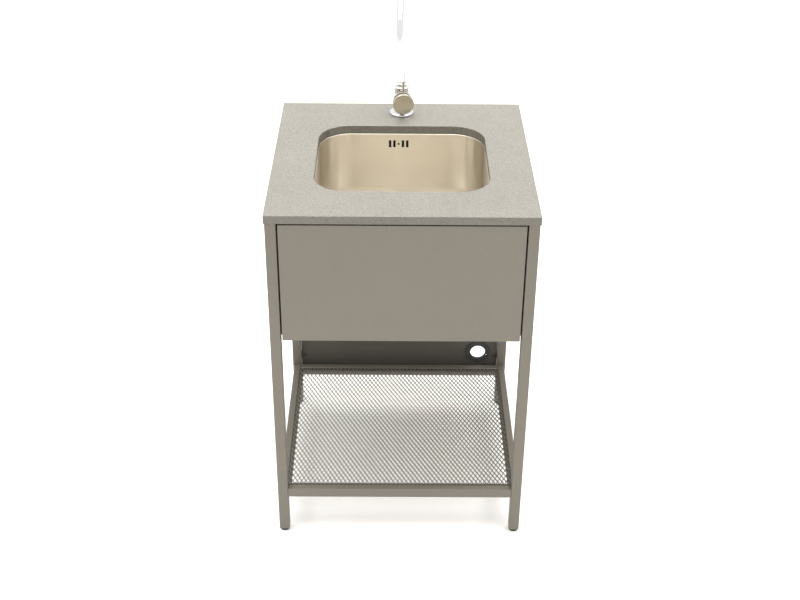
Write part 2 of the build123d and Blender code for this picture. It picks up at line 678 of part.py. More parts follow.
HOUSING_Y = BOWL_BACK_Y + BOWL_SHEET
HOUSING_WIDTH = 62
HOUSING_HEIGHT = 36
HOUSING_REACH = 24
HOUSING_WALL = 3
HOUSING_CORNER = 9
HOUSING_BACK_EDGE = 3
SCREW_POST_RADIUS = 4
SPIGOT_RADIUS = 8.5
SPIGOT_BORE = 6.5
SPIGOT_LENGTH = 20
HOUSING_BOTTOM_Z = OVERFLOW_Z - HOUSING_HEIGHT / 2

with BuildPart() as overflow_housing:
    with BuildSketch(backward(OVERFLOW_X, HOUSING_Y, OVERFLOW_Z)):
        RectangleRounded(HOUSING_WIDTH, HOUSING_HEIGHT, HOUSING_CORNER)
    extrude(amount=HOUSING_REACH)
    fillet(overflow_housing.edges().group_by(Axis.Y)[-1], HOUSING_BACK_EDGE)
    with BuildSketch(upright(0, HOSE_Y, HOUSING_BOTTOM_Z)):
        Circle(SPIGOT_RADIUS)
    extrude(amount=-SPIGOT_LENGTH)
    with BuildSketch(backward(OVERFLOW_X, HOUSING_Y, OVERFLOW_Z)):
        RectangleRounded(
            HOUSING_WIDTH - 2 * HOUSING_WALL,
            HOUSING_HEIGHT - 2 * HOUSING_WALL,
            HOUSING_CORNER - HOUSING_WALL,
        )
    extrude(amount=HOUSING_REACH - HOUSING_WALL, mode=Mode.SUBTRACT)
    with BuildSketch(upright(0, HOSE_Y, HOUSING_BOTTOM_Z - SPIGOT_LENGTH)):
        Circle(SPIGOT_BORE)
    extrude(amount=SPIGOT_LENGTH + 2 * HOUSING_WALL, mode=Mode.SUBTRACT)
    with BuildSketch(backward(OVERFLOW_X, HOUSING_Y, OVERFLOW_Z)):
        Circle(SCREW_POST_RADIUS)
        Circle(OVERFLOW_SCREW_HOLE, mode=Mode.SUBTRACT)
    extrude(amount=HOUSING_REACH - HOUSING_WALL)
overflow_housing.part.label = "overflow_housing"
export_step(overflow_housing.part, "parts/overflow_housing.step")

OVERFLOW_HEAD_RADIUS = 2.6
OVERFLOW_HEAD_HEIGHT = 1.2
OVERFLOW_SCREW_LENGTH = 16

with BuildPart() as overflow_screw:
    with BuildSketch(frontward(OVERFLOW_X, BOWL_BACK_Y, OVERFLOW_Z)):
        Circle(OVERFLOW_HEAD_RADIUS)
    extrude(amount=OVERFLOW_HEAD_HEIGHT)
    fillet(overflow_screw.edges().group_by(Axis.Y)[0], OVERFLOW_HEAD_HEIGHT / 2)
    with BuildSketch(backward(OVERFLOW_X, BOWL_BACK_Y, OVERFLOW_Z)):
        Circle(OVERFLOW_SCREW_HOLE - FIXED_FIT)
    extrude(amount=OVERFLOW_SCREW_LENGTH)
overflow_screw.part.label = "overflow_screw"
export_step(overflow_screw.part, "parts/overflow_screw.step")

DRAIN_CUP_RADIUS = 42
DRAIN_PORT_Y = DRAIN_Y + DRAIN_CUP_RADIUS
DRAIN_PORT_LENGTH = 26
HOSE_END_GAP = 1
HOSE_OVERLAP = 18
HOSE_TOP_Z = HOUSING_BOTTOM_Z - HOSE_END_GAP
HOSE_FRONT_Y = DRAIN_PORT_Y + DRAIN_PORT_LENGTH - HOSE_OVERLAP

with BuildPart() as overflow_hose:
    with BuildLine() as hose_route:
        FilletPolyline(
            (0, HOSE_Y, HOSE_TOP_Z),
            (0, HOSE_Y, HOSE_Z),
            (0, HOSE_FRONT_Y, HOSE_Z),
            radius=HOSE_BEND,
        )
    with BuildSketch(Plane(origin=(0, HOSE_Y, HOSE_TOP_Z), z_dir=(0, 0, -1))):
        Circle(HOSE_RADIUS)
        Circle(HOSE_BORE, mode=Mode.SUBTRACT)
    sweep(path=hose_route.wire())
overflow_hose.part.label = "overflow_hose"
export_step(overflow_hose.part, "parts/overflow_hose.step")

# Drain: body, gaskets, locknut and the lift-out basket ------------------------------------------------

GASKET_THICKNESS = 1
RECESS_Z = BOWL_FLOOR_Z - SLOPE_DROP - RECESS_DROP
DRAIN_FLANGE_RADIUS = 56
DRAIN_FLANGE_Z = RECESS_Z + GASKET_THICKNESS
DRAIN_SHEET = 1.5
DRAIN_FLANGE_EDGE = 1
DRAIN_FLOOR = 2
DRAIN_BOTTOM_Z = 628
DRAIN_FLOOR_Z = DRAIN_BOTTOM_Z + DRAIN_FLOOR
BOSS_RADIUS = 23.9
BOSS_BORE = 19
BOSS_BOTTOM_Z = 606
BOWL_UNDER_Z = RECESS_Z - BOWL_SHEET


def ring(y, z, outer, inner, height):
    """One upright ring on the axis x = 0 and y, whose lower face is at z."""
    with BuildPart(mode=Mode.PRIVATE) as made:
        with BuildSketch(upright(0, y, z)):
            Circle(outer)
            Circle(inner, mode=Mode.SUBTRACT)
        extrude(amount=height)
    return made.part


with BuildPart() as drain_body:
    with BuildSketch(upright(0, DRAIN_Y, DRAIN_FLANGE_Z)):
        Circle(DRAIN_FLANGE_RADIUS)
    extrude(amount=DRAIN_SHEET)
    fillet(drain_body.edges().group_by(Axis.Z)[-1], DRAIN_FLANGE_EDGE)
    with BuildSketch(upright(0, DRAIN_Y, DRAIN_BOTTOM_Z)):
        Circle(DRAIN_CUP_RADIUS)
    extrude(amount=DRAIN_FLANGE_Z - DRAIN_BOTTOM_Z)
    with BuildSketch(upright(0, DRAIN_Y, BOSS_BOTTOM_Z)):
        Circle(BOSS_RADIUS)
    extrude(amount=DRAIN_BOTTOM_Z - BOSS_BOTTOM_Z)
    with BuildSketch(backward(0, DRAIN_Y, HOSE_Z)):
        Circle(SPIGOT_RADIUS)
    extrude(amount=DRAIN_CUP_RADIUS + DRAIN_PORT_LENGTH)
    with BuildSketch(upright(0, DRAIN_Y, DRAIN_FLOOR_Z)):
        Circle(DRAIN_CUP_RADIUS - DRAIN_SHEET)
    extrude(amount=BOWL_FLOOR_Z - DRAIN_FLOOR_Z, mode=Mode.SUBTRACT)
    with BuildSketch(upright(0, DRAIN_Y, BOSS_BOTTOM_Z)):
        Circle(BOSS_BORE)
    extrude(amount=DRAIN_FLOOR_Z - BOSS_BOTTOM_Z, mode=Mode.SUBTRACT)
    with BuildSketch(backward(0, DRAIN_Y, HOSE_Z)):
        Circle(SPIGOT_BORE)
    extrude(amount=DRAIN_CUP_RADIUS + DRAIN_PORT_LENGTH, mode=Mode.SUBTRACT)
drain_body.part.label = "drain_body"
export_step(drain_body.part, "parts/drain_body.step")

LOWER_GASKET = 1.5

with BuildPart() as drain_gaskets:
    add(ring(DRAIN_Y, RECESS_Z, DRAIN_FLANGE_RADIUS - 1, DRAIN_HOLE_RADIUS, GASKET_THICKNESS))
    add(
        ring(
            DRAIN_Y,
            BOWL_UNDER_Z - LOWER_GASKET,
            DRAIN_FLANGE_RADIUS,
            DRAIN_CUP_RADIUS + THREAD_GAP,
            LOWER_GASKET,
        )
    )
drain_gaskets.part.label = "drain_gaskets"
export_step(drain_gaskets.part, "parts/drain_gaskets.step")

LOCKNUT_HEIGHT = 13
LOCKNUT_RADIUS = 51
LOCKNUT_LUGS = 6
LUG_REACH = 7
LUG_WIDTH = 14

with BuildPart() as drain_locknut:
    with BuildSketch(upright(0, DRAIN_Y, BOWL_UNDER_Z - LOWER_GASKET - LOCKNUT_HEIGHT)):
        Circle(LOCKNUT_RADIUS)
        with PolarLocations(LOCKNUT_RADIUS, LOCKNUT_LUGS):
            Rectangle(LUG_REACH, LUG_WIDTH)
        Circle(DRAIN_CUP_RADIUS + THREAD_GAP, mode=Mode.SUBTRACT)
    extrude(amount=LOCKNUT_HEIGHT)
drain_locknut.part.label = "drain_locknut"
export_step(drain_locknut.part, "parts/drain_locknut.step")

BASKET_RIM_RADIUS = 39.9
BASKET_RIM_Z = 680
BASKET_FLOOR_Z = 647
BASKET_SHEET = 1.2
BASKET_STEM_RADIUS = 4
BASKET_STEM_TOP_Z = 690
BASKET_STOPPER_RADIUS = 25
BASKET_STOPPER_GAP = 4
BASKET_STOPPER_EDGE = 2
BASKET_FLOOR_RADIUS = 31
BASKET_WALL_RADIUS = 36
BASKET_NECK_RADIUS = 37
BASKET_CORNER = 8
HOLE_RINGS = ((11, 8), (18, 14), (25, 20))
BASKET_HOLE = 1.9
BASKET_SLOTS = 24
BASKET_SLOT_WIDTH = 2.6
BASKET_SLOT_HEIGHT = 15
BASKET_SLOT_LIFT = 12

STOPPER_TOP_Z = BASKET_FLOOR_Z - BASKET_STOPPER_GAP

with BuildPart() as strainer_basket:
    with BuildSketch(Plane.XZ.offset(-DRAIN_Y)) as basket_profile:
        with BuildLine():
            Polyline(
                (0, BASKET_FLOOR_Z),
                (BASKET_FLOOR_RADIUS, BASKET_FLOOR_Z),
                (BASKET_WALL_RADIUS, BASKET_FLOOR_Z + BASKET_CORNER),
                (BASKET_NECK_RADIUS, BASKET_RIM_Z),
                (BASKET_RIM_RADIUS, BASKET_RIM_Z),
                (BASKET_RIM_RADIUS, BASKET_RIM_Z + BASKET_SHEET),
                (BASKET_NECK_RADIUS - BASKET_SHEET, BASKET_RIM_Z + BASKET_SHEET),
                (BASKET_WALL_RADIUS - BASKET_SHEET, BASKET_FLOOR_Z + BASKET_CORNER),
                (BASKET_FLOOR_RADIUS - BASKET_SHEET / 2, BASKET_FLOOR_Z + BASKET_SHEET),
                (0, BASKET_FLOOR_Z + BASKET_SHEET),
                close=True,
            )
        make_face()
    revolve(axis=Axis((0, DRAIN_Y, 0), (0, 0, 1)))
    for ring_radius, count in HOLE_RINGS:
        with BuildSketch(upright(0, DRAIN_Y, BASKET_FLOOR_Z)):
            with PolarLocations(ring_radius, count):
                Circle(BASKET_HOLE)
        extrude(amount=BASKET_SHEET, mode=Mode.SUBTRACT)
    with BuildSketch(upright(0, DRAIN_Y, BASKET_FLOOR_Z + BASKET_SLOT_LIFT)):
        with PolarLocations(BASKET_WALL_RADIUS, BASKET_SLOTS):
            Rectangle(BASKET_WALL_RADIUS / 4, BASKET_SLOT_WIDTH)
    extrude(amount=BASKET_SLOT_HEIGHT, mode=Mode.SUBTRACT)
    with BuildSketch(upright(0, DRAIN_Y, STOPPER_TOP_Z)):
        Circle(BASKET_STEM_RADIUS)
    extrude(amount=BASKET_STEM_TOP_Z - STOPPER_TOP_Z)
    with BuildSketch(upright(0, DRAIN_Y, DRAIN_FLOOR_Z)):
        Circle(BASKET_STOPPER_RADIUS)
    extrude(amount=STOPPER_TOP_Z - DRAIN_FLOOR_Z)
    fillet(strainer_basket.edges().group_by(Axis.Z)[0], BASKET_STOPPER_EDGE)
strainer_basket.part.label = "strainer_basket"
export_step(strainer_basket.part, "parts/strainer_basket.step")

KNOB_RADIUS = 9
KNOB_HEIGHT = 11
KNOB_CROWN = 4
KNOB_LOWER_EDGE = 2

with BuildPart() as basket_knob:
    with BuildSketch(upright(0, DRAIN_Y, BASKET_STEM_TOP_Z)):
        Circle(KNOB_RADIUS)
    extrude(amount=KNOB_HEIGHT)
    fillet(basket_knob.edges().group_by(Axis.Z)[-1], KNOB_CROWN)
    fillet(basket_knob.edges().group_by(Axis.Z)[0], KNOB_LOWER_EDGE)
basket_knob.part.label = "basket_knob"
export_step(basket_knob.part, "parts/basket_knob.step")

# Bottle trap: tailpiece, head, cup, nuts and outlet pipe ----------------------------------------------

NUT_RADIUS = 30
NUT_BORE = BOSS_RADIUS + THREAD_GAP
NUT_LIP_BORE = PIPE_RADIUS + THREAD_GAP
NUT_LIP = 4
NUT_LENGTH = 22
NUT_RIBS = 16
NUT_RIB = 3
NUT_RIB_WIDTH = 4
NUT_CORE_RADIUS = NUT_RADIUS - NUT_RIB / 2
TAILPIECE_FLANGE_RADIUS = 22.5
TAILPIECE_FLANGE = 3
TAILPIECE_BOTTOM_Z = 446
HEAD_TOP_Z = 560
HEAD_NECK_Z = 580
HEAD_SKIRT_Z = 486
HEAD_BOTTOM_Z = 500
HEAD_RADIUS = 33
HEAD_WALL = 3
HEAD_SHOULDER = 5
SKIRT_RADIUS = 31
CUP_COLLAR_RADIUS = 36.5
CUP_COLLAR_HEIGHT = 19.5
CUP_COLLAR_DROP = 6
CUP_BOTTOM_Z = 420
CUP_CORNER = 8
CUP_RIBS = 20
CUP_RIB = 2.4
CUP_RIB_WIDTH = 5
NUT_END_GAP = 1
OUTLET_NECK_X = 64
OUTLET_START_X = 48
OUTLET_STOP_X = 70
OUTLET_STOP = 2
OUTLET_STOP_RADIUS = 22
OUTLET_END_X = 162


def union_nut(plane):
    """One ribbed union nut: its open end is on the plane and its lip ahead, along the normal."""
    with BuildPart(mode=Mode.PRIVATE) as nut:
        with BuildSketch(plane):
            Circle(NUT_CORE_RADIUS)
            with PolarLocations(NUT_CORE_RADIUS, NUT_RIBS):
                Rectangle(NUT_RIB, NUT_RIB_WIDTH)
            Circle(NUT_BORE, mode=Mode.SUBTRACT)
        extrude(amount=NUT_LENGTH - NUT_LIP)
        with BuildSketch(plane.offset(NUT_LENGTH - NUT_LIP)):
            Circle(NUT_CORE_RADIUS)
            Circle(NUT_LIP_BORE, mode=Mode.SUBTRACT)
        extrude(amount=NUT_LIP)
    return nut.part


with BuildPart() as tailpiece:
    with BuildSketch(upright(0, DRAIN_Y, BOSS_BOTTOM_Z)):
        Circle(TAILPIECE_FLANGE_RADIUS)
    extrude(amount=-TAILPIECE_FLANGE)
    with BuildSketch(upright(0, DRAIN_Y, BOSS_BOTTOM_Z)):
        Circle(PIPE_RADIUS)
    extrude(amount=TAILPIECE_BOTTOM_Z - BOSS_BOTTOM_Z)
    with BuildSketch(upright(0, DRAIN_Y, BOSS_BOTTOM_Z)):
        Circle(PIPE_RADIUS - PIPE_WALL)
    extrude(amount=TAILPIECE_BOTTOM_Z - BOSS_BOTTOM_Z, mode=Mode.SUBTRACT)
tailpiece.part.label = "tailpiece"
export_step(tailpiece.part, "parts/tailpiece.step")

TAILPIECE_NUT_TOP_Z = BOSS_BOTTOM_Z - TAILPIECE_FLANGE + NUT_LENGTH - NUT_LIP

with BuildPart() as tailpiece_nut:
    add(union_nut(Plane(origin=(0, DRAIN_Y, TAILPIECE_NUT_TOP_Z), z_dir=(0, 0, -1))))
tailpiece_nut.part.label = "tailpiece_nut"
export_step(tailpiece_nut.part, "parts/tailpiece_nut.step")

with BuildPart() as trap_head:
    with BuildSketch(upright(0, DRAIN_Y, HEAD_BOTTOM_Z)):
        Circle(HEAD_RADIUS)
    extrude(amount=HEAD_TOP_Z - HEAD_BOTTOM_Z)
    fillet(trap_head.edges().group_by(Axis.Z)[-1], HEAD_SHOULDER)
    with BuildSketch(upright(0, DRAIN_Y, HEAD_TOP_Z)):
        Circle(BOSS_RADIUS)
    extrude(amount=HEAD_NECK_Z - HEAD_TOP_Z)
    with BuildSketch(upright(0, DRAIN_Y, HEAD_SKIRT_Z)):
        Circle(SKIRT_RADIUS)
    extrude(amount=HEAD_BOTTOM_Z - HEAD_SKIRT_Z)
    with BuildSketch(rightward(0, DRAIN_Y, TRAP_OUTLET_Z)):
        Circle(BOSS_RADIUS)
    extrude(amount=OUTLET_NECK_X)
    with BuildSketch(upright(0, DRAIN_Y, HEAD_SKIRT_Z)):
        Circle(SKIRT_RADIUS - HEAD_WALL)
    extrude(amount=HEAD_TOP_Z - HEAD_WALL - HEAD_SKIRT_Z, mode=Mode.SUBTRACT)
    with BuildSketch(upright(0, DRAIN_Y, HEAD_TOP_Z - 2 * HEAD_WALL)):
        Circle(NUT_LIP_BORE)
    extrude(amount=HEAD_NECK_Z - HEAD_TOP_Z + 2 * HEAD_WALL, mode=Mode.SUBTRACT)
    with BuildSketch(rightward(OUTLET_NECK_X, DRAIN_Y, TRAP_OUTLET_Z)):
        Circle(NUT_LIP_BORE)
    extrude(amount=PIPE_RADIUS + HEAD_WALL - OUTLET_NECK_X, mode=Mode.SUBTRACT)
trap_head.part.label = "trap_head"
export_step(trap_head.part, "parts/trap_head.step")

with BuildPart() as trap_inlet_nut:
    add(union_nut(upright(0, DRAIN_Y, HEAD_NECK_Z + NUT_LIP + NUT_END_GAP - NUT_LENGTH)))
trap_inlet_nut.part.label = "trap_inlet_nut"
export_step(trap_inlet_nut.part, "parts/trap_inlet_nut.step")

with BuildPart() as trap_cup:
    with BuildSketch(upright(0, DRAIN_Y, CUP_BOTTOM_Z)):
        Circle(HEAD_RADIUS)
    extrude(amount=HEAD_SKIRT_Z - CUP_BOTTOM_Z)
    fillet(trap_cup.edges().group_by(Axis.Z)[0], CUP_CORNER)
    with BuildSketch(upright(0, DRAIN_Y, HEAD_SKIRT_Z - CUP_COLLAR_DROP)):
        Circle(CUP_COLLAR_RADIUS)
        with PolarLocations(CUP_COLLAR_RADIUS, CUP_RIBS):
            Rectangle(CUP_RIB, CUP_RIB_WIDTH)
    extrude(amount=CUP_COLLAR_HEIGHT)
    with BuildSketch(upright(0, DRAIN_Y, CUP_BOTTOM_Z + HEAD_WALL)):
        Circle(HEAD_RADIUS - HEAD_WALL)
    extrude(amount=HEAD_SKIRT_Z - CUP_BOTTOM_Z - HEAD_WALL, mode=Mode.SUBTRACT)
    with BuildSketch(upright(0, DRAIN_Y, HEAD_SKIRT_Z - NUT_END_GAP)):
        Circle(SKIRT_RADIUS + THREAD_GAP)
    extrude(amount=CUP_COLLAR_HEIGHT, mode=Mode.SUBTRACT)
trap_cup.part.label = "trap_cup"
export_step(trap_cup.part, "parts/trap_cup.step")

with BuildPart() as trap_outlet_nut:
    nut_start_x = OUTLET_NECK_X + NUT_LIP + NUT_END_GAP - NUT_LENGTH
    add(union_nut(rightward(nut_start_x, DRAIN_Y, TRAP_OUTLET_Z)))
trap_outlet_nut.part.label = "trap_outlet_nut"
export_step(trap_outlet_nut.part, "parts/trap_outlet_nut.step")

# A stop ring marks how far the pipe goes into its nut.
with BuildPart() as trap_outlet_pipe:
    with BuildSketch(rightward(OUTLET_START_X, DRAIN_Y, TRAP_OUTLET_Z)):
        Circle(PIPE_RADIUS)
    extrude(amount=OUTLET_END_X - OUTLET_START_X)
    with BuildSketch(rightward(OUTLET_STOP_X, DRAIN_Y, TRAP_OUTLET_Z)):
        Circle(OUTLET_STOP_RADIUS)
    extrude(amount=OUTLET_STOP)
    with BuildSketch(rightward(OUTLET_START_X, DRAIN_Y, TRAP_OUTLET_Z)):
        Circle(PIPE_RADIUS - PIPE_WALL)
    extrude(amount=OUTLET_END_X - OUTLET_START_X, mode=Mode.SUBTRACT)
trap_outlet_pipe.part.label = "trap_outlet_pipe"
export_step(trap_outlet_pipe.part, "parts/trap_outlet_pipe.step")

# Tap: base, body and fixings --------------------------------------------------------------------------

TAP_GASKET = 1
TAP_BASE_RADIUS = 30
TAP_BASE_HEIGHT = 5
SHANK_RADIUS = 15
SHANK_BOTTOM_Z = 826
SHANK_SLEEVE = SHANK_RADIUS + THREAD_GAP
BASE_RING_EDGE = 3.5
COLUMN_SHOULDER = 3
PORT_RADIUS = 4.5
PORT_DEPTH = 14
PORT_X = 7
BODY_BOTTOM_Z = TOP_Z + TAP_GASKET + TAP_BASE_HEIGHT
CARTRIDGE_RADIUS = 17.6
CARTRIDGE_DEPTH = 15
CARTRIDGE_SET_BACK = 0.5
SPOUT_SOCKET_Z = 950
SPOUT_END_GAP = 0.5
WASHER_RADIUS = 26
WASHER_THICKNESS = 3
TAP_NUT_RADIUS = 22
TAP_NUT_HEIGHT = 10

with BuildPart() as tap_gasket:
    add(ring(TAP_Y, TOP_Z, TAP_BASE_RADIUS - TAP_GASKET, SHANK_SLEEVE, TAP_GASKET))
tap_gasket.part.label = "tap_gasket"
export_step(tap_gasket.part, "parts/tap_gasket.step")

with BuildPart() as tap_base_ring:
    add(ring(TAP_Y, TOP_Z + TAP_GASKET, TAP_BASE_RADIUS, SHANK_SLEEVE, TAP_BASE_HEIGHT))
    outer_top_edge = tap_base_ring.edges().group_by(Axis.Z)[-1].sort_by(SortBy.RADIUS)[-1]
    fillet(outer_top_edge, BASE_RING_EDGE)
tap_base_ring.part.label = "tap_base_ring"
export_step(tap_base_ring.part, "parts/tap_base_ring.step")

with BuildPart() as tap_body:
    with BuildSketch(upright(0, TAP_Y, BODY_BOTTOM_Z)):
        Circle(TAP_COLUMN_RADIUS)
    extrude(amount=TAP_COLUMN_TOP_Z - BODY_BOTTOM_Z)
    fillet(tap_body.edges().group_by(Axis.Z)[-1], COLUMN_SHOULDER)
    with BuildSketch(turned(TAP_TURN, 0, TAP_BARREL_Z)):
        Circle(TAP_BARREL_RADIUS)
    extrude(amount=TAP_BARREL_REACH)
    with BuildSketch(upright(0, TAP_Y, SHANK_BOTTOM_Z)):
        Circle(SHANK_RADIUS)
    extrude(amount=BODY_BOTTOM_Z - SHANK_BOTTOM_Z)
    with BuildSketch(turned(TAP_TURN, TAP_BARREL_REACH, TAP_BARREL_Z)):
        Circle(CARTRIDGE_RADIUS + FIXED_FIT)
    extrude(amount=-CARTRIDGE_DEPTH, mode=Mode.SUBTRACT)
    with BuildSketch(upright(0, TAP_Y, SPOUT_SOCKET_Z)):
        Circle(SPOUT_RADIUS + RUNNING_FIT)
    extrude(amount=TAP_COLUMN_TOP_Z - SPOUT_SOCKET_Z, mode=Mode.SUBTRACT)
    with BuildSketch(turned_level(TAP_TURN, 0, SHANK_BOTTOM_Z)):
        with Locations((-PORT_X, 0), (PORT_X, 0)):
            Circle(PORT_RADIUS)
    extrude(amount=PORT_DEPTH, mode=Mode.SUBTRACT)
tap_body.part.label = "tap_body"
export_step(tap_body.part, "parts/tap_body.step")

with BuildPart() as tap_washer:
    add(ring(TAP_Y, TOP_UNDER_Z - WASHER_THICKNESS, WASHER_RADIUS, SHANK_SLEEVE, WASHER_THICKNESS))
tap_washer.part.label = "tap_washer"
export_step(tap_washer.part, "parts/tap_washer.step")

with BuildPart() as tap_locknut:
    with BuildSketch(upright(0, TAP_Y, TOP_UNDER_Z - WASHER_THICKNESS - TAP_NUT_HEIGHT)):
        RegularPolygon(TAP_NUT_RADIUS, 6)
        Circle(SHANK_SLEEVE, mode=Mode.SUBTRACT)
    extrude(amount=TAP_NUT_HEIGHT)
tap_locknut.part.label = "tap_locknut"
export_step(tap_locknut.part, "parts/tap_locknut.step")

with BuildPart() as mixer_cartridge:
    with BuildSketch(turned(TAP_TURN, TAP_BARREL_REACH - CARTRIDGE_SET_BACK, TAP_BARREL_Z)):
        Circle(CARTRIDGE_RADIUS)
    extrude(amount=CARTRIDGE_SET_BACK - CARTRIDGE_DEPTH)
mixer_cartridge.part.label = "mixer_cartridge"
export_step(mixer_cartridge.part, "parts/mixer_cartridge.step")

# Tap: lever -------------------------------------------------------------------------------------------

BALL_RADIUS = 14
BALL_GAP = 0.3
CAP_RADIUS = 26
CAP_TILT_GAP = 7.5
CAP_BACK = TAP_BARREL_REACH + CAP_TILT_GAP
CAP_FRONT = 39
CAP_EDGE = 1.6
PIN_RADIUS = 3.25
PIN_FIT = 0.05
PIN_CROWN = 2
PIN_AHEAD = 34
PIN_TOP_Z = 1008
PIN_SOCKET_Z = 944
LEVER_PLANE = turned_level(TAP_TURN, TAP_BARREL_REACH, TAP_BARREL_Z)
LEVER_AXIS = Axis(LEVER_PLANE.origin, LEVER_PLANE.y_dir)

with BuildPart() as lever_ball:
    with BuildSketch(LEVER_PLANE):
        with BuildLine():
            CenterArc((0, 0), BALL_RADIUS, 180, 90)
            Line((0, -BALL_RADIUS), (0, 0))
            Line((0, 0), (-BALL_RADIUS, 0))
        make_face()
    revolve(axis=LEVER_AXIS)
lever_ball.part.label = "lever_ball"
export_step(lever_ball.part, "parts/lever_ball.step")

with BuildPart() as handle_cap:
    with BuildSketch(turned(TAP_TURN, CAP_BACK, TAP_BARREL_Z)):
        Circle(CAP_RADIUS)
    extrude(amount=CAP_FRONT - CAP_BACK)
    fillet(handle_cap.edges().filter_by(GeomType.CIRCLE), CAP_EDGE)
    with BuildSketch(LEVER_PLANE):
        with BuildLine():
            CenterArc((0, 0), BALL_RADIUS + BALL_GAP, 180, 90)
            Line((0, -BALL_RADIUS - BALL_GAP), (0, 0))
            Line((0, 0), (-BALL_RADIUS - BALL_GAP, 0))
        make_face()
    revolve(axis=LEVER_AXIS, mode=Mode.SUBTRACT)
    with BuildSketch(turned_level(TAP_TURN, PIN_AHEAD, PIN_SOCKET_Z)):
        Circle(PIN_RADIUS + PIN_FIT)
    extrude(amount=CAP_RADIUS, mode=Mode.SUBTRACT)
handle_cap.part.label = "handle_cap"
export_step(handle_cap.part, "parts/handle_cap.step")

with BuildPart() as lever_pin:
    with BuildSketch(turned_level(TAP_TURN, PIN_AHEAD, PIN_SOCKET_Z)):
        Circle(PIN_RADIUS)
    extrude(amount=PIN_TOP_Z - PIN_SOCKET_Z)
    fillet(lever_pin.edges().group_by(Axis.Z)[-1], PIN_CROWN)
lever_pin.part.label = "lever_pin"
export_step(lever_pin.part, "parts/lever_pin.step")

# Tap: swivel spout ------------------------------------------------------------------------------------

SPOUT_BEND = SPOUT_REACH / 2
SPOUT_BEND_Z = SPOUT_TOP_Z - SPOUT_RADIUS - SPOUT_BEND
SPOUT_TUBE_END_Z = 1068
COLLAR_RADIUS = 14.5
COLLAR_HEIGHT = 8
COLLAR_EDGE = 2.5
NOZZLE_RADIUS = 10.8
NOZZLE_TOP_Z = 1082
NOZZLE_UPPER_EDGE = 1.2
NOZZLE_LOWER_EDGE = 1
AERATOR_RADIUS = 8.4
AERATOR_SOCKET = 14
AERATOR_SET_BACK = 1
AERATOR_HEIGHT = 12
SPOUT_BEND_SLACK = 0.01
SPOUT_TUBE_START_Z = SPOUT_SOCKET_Z + SPOUT_END_GAP

with BuildPart() as spout_tube:
    with BuildLine() as spout_route:
        FilletPolyline(
            turned(SPOUT_TURN, 0, SPOUT_TUBE_START_Z).origin,
            turned(SPOUT_TURN, 0, SPOUT_BEND_Z + SPOUT_BEND).origin,
            turned(SPOUT_TURN, SPOUT_REACH, SPOUT_BEND_Z + SPOUT_BEND).origin,
            turned(SPOUT_TURN, SPOUT_REACH, SPOUT_TUBE_END_Z).origin,
            radius=SPOUT_BEND - SPOUT_BEND_SLACK,
        )
    with BuildSketch(upright(0, TAP_Y, SPOUT_TUBE_START_Z)):
        Circle(SPOUT_RADIUS)
        Circle(SPOUT_BORE, mode=Mode.SUBTRACT)
    sweep(path=spout_route.wire())
spout_tube.part.label = "spout_tube"
export_step(spout_tube.part, "parts/spout_tube.step")

with BuildPart() as spout_collar:
    add(ring(TAP_Y, TAP_COLUMN_TOP_Z, COLLAR_RADIUS, SPOUT_RADIUS + FIXED_FIT, COLLAR_HEIGHT))
    collar_top = spout_collar.edges().group_by(Axis.Z)[-1].sort_by(SortBy.RADIUS)[-1]
    fillet(collar_top, COLLAR_EDGE)
spout_collar.part.label = "spout_collar"
export_step(spout_collar.part, "parts/spout_collar.step")

with BuildPart() as spout_nozzle:
    with BuildSketch(turned_level(SPOUT_TURN, SPOUT_REACH, SPOUT_OUTLET_Z)):
        Circle(NOZZLE_RADIUS)
    extrude(amount=NOZZLE_TOP_Z - SPOUT_OUTLET_Z)
    fillet(spout_nozzle.edges().group_by(Axis.Z)[-1], NOZZLE_UPPER_EDGE)
    fillet(spout_nozzle.edges().group_by(Axis.Z)[0], NOZZLE_LOWER_EDGE)
    with BuildSketch(turned_level(SPOUT_TURN, SPOUT_REACH, SPOUT_TUBE_END_Z)):
        Circle(SPOUT_RADIUS + FIXED_FIT)
    extrude(amount=NOZZLE_TOP_Z - SPOUT_TUBE_END_Z, mode=Mode.SUBTRACT)
    with BuildSketch(turned_level(SPOUT_TURN, SPOUT_REACH, SPOUT_OUTLET_Z)):
        Circle(AERATOR_RADIUS + FIXED_FIT)
    extrude(amount=AERATOR_SOCKET, mode=Mode.SUBTRACT)
    with BuildSketch(turned_level(SPOUT_TURN, SPOUT_REACH, SPOUT_OUTLET_Z)):
        Circle(SPOUT_BORE)
    extrude(amount=NOZZLE_TOP_Z - SPOUT_OUTLET_Z, mode=Mode.SUBTRACT)
spout_nozzle.part.label = "spout_nozzle"
export_step(spout_nozzle.part, "parts/spout_nozzle.step")

AERATOR_HOLE_RINGS = ((2.4, 6), (5.2, 12))
AERATOR_HOLE = 0.7

with BuildPart() as aerator:
    with BuildSketch(turned_level(SPOUT_TURN, SPOUT_REACH, SPOUT_OUTLET_Z + AERATOR_SET_BACK)):
        Circle(AERATOR_RADIUS)
        for ring_radius, count in AERATOR_HOLE_RINGS:
            with PolarLocations(ring_radius, count):
                Circle(AERATOR_HOLE, mode=Mode.SUBTRACT)
    extrude(amount=AERATOR_HEIGHT)
aerator.part.label = "aerator"
export_step(aerator.part, "parts/aerator.step")
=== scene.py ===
"""The looks of the portable handwash sink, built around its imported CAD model.

Metres, in the CAD model's own frame: X to the right, Y to the back, Z up, and the floor at Z 0.
"""

import json
import math

import bmesh
import bpy
from mathutils import Matrix, Vector


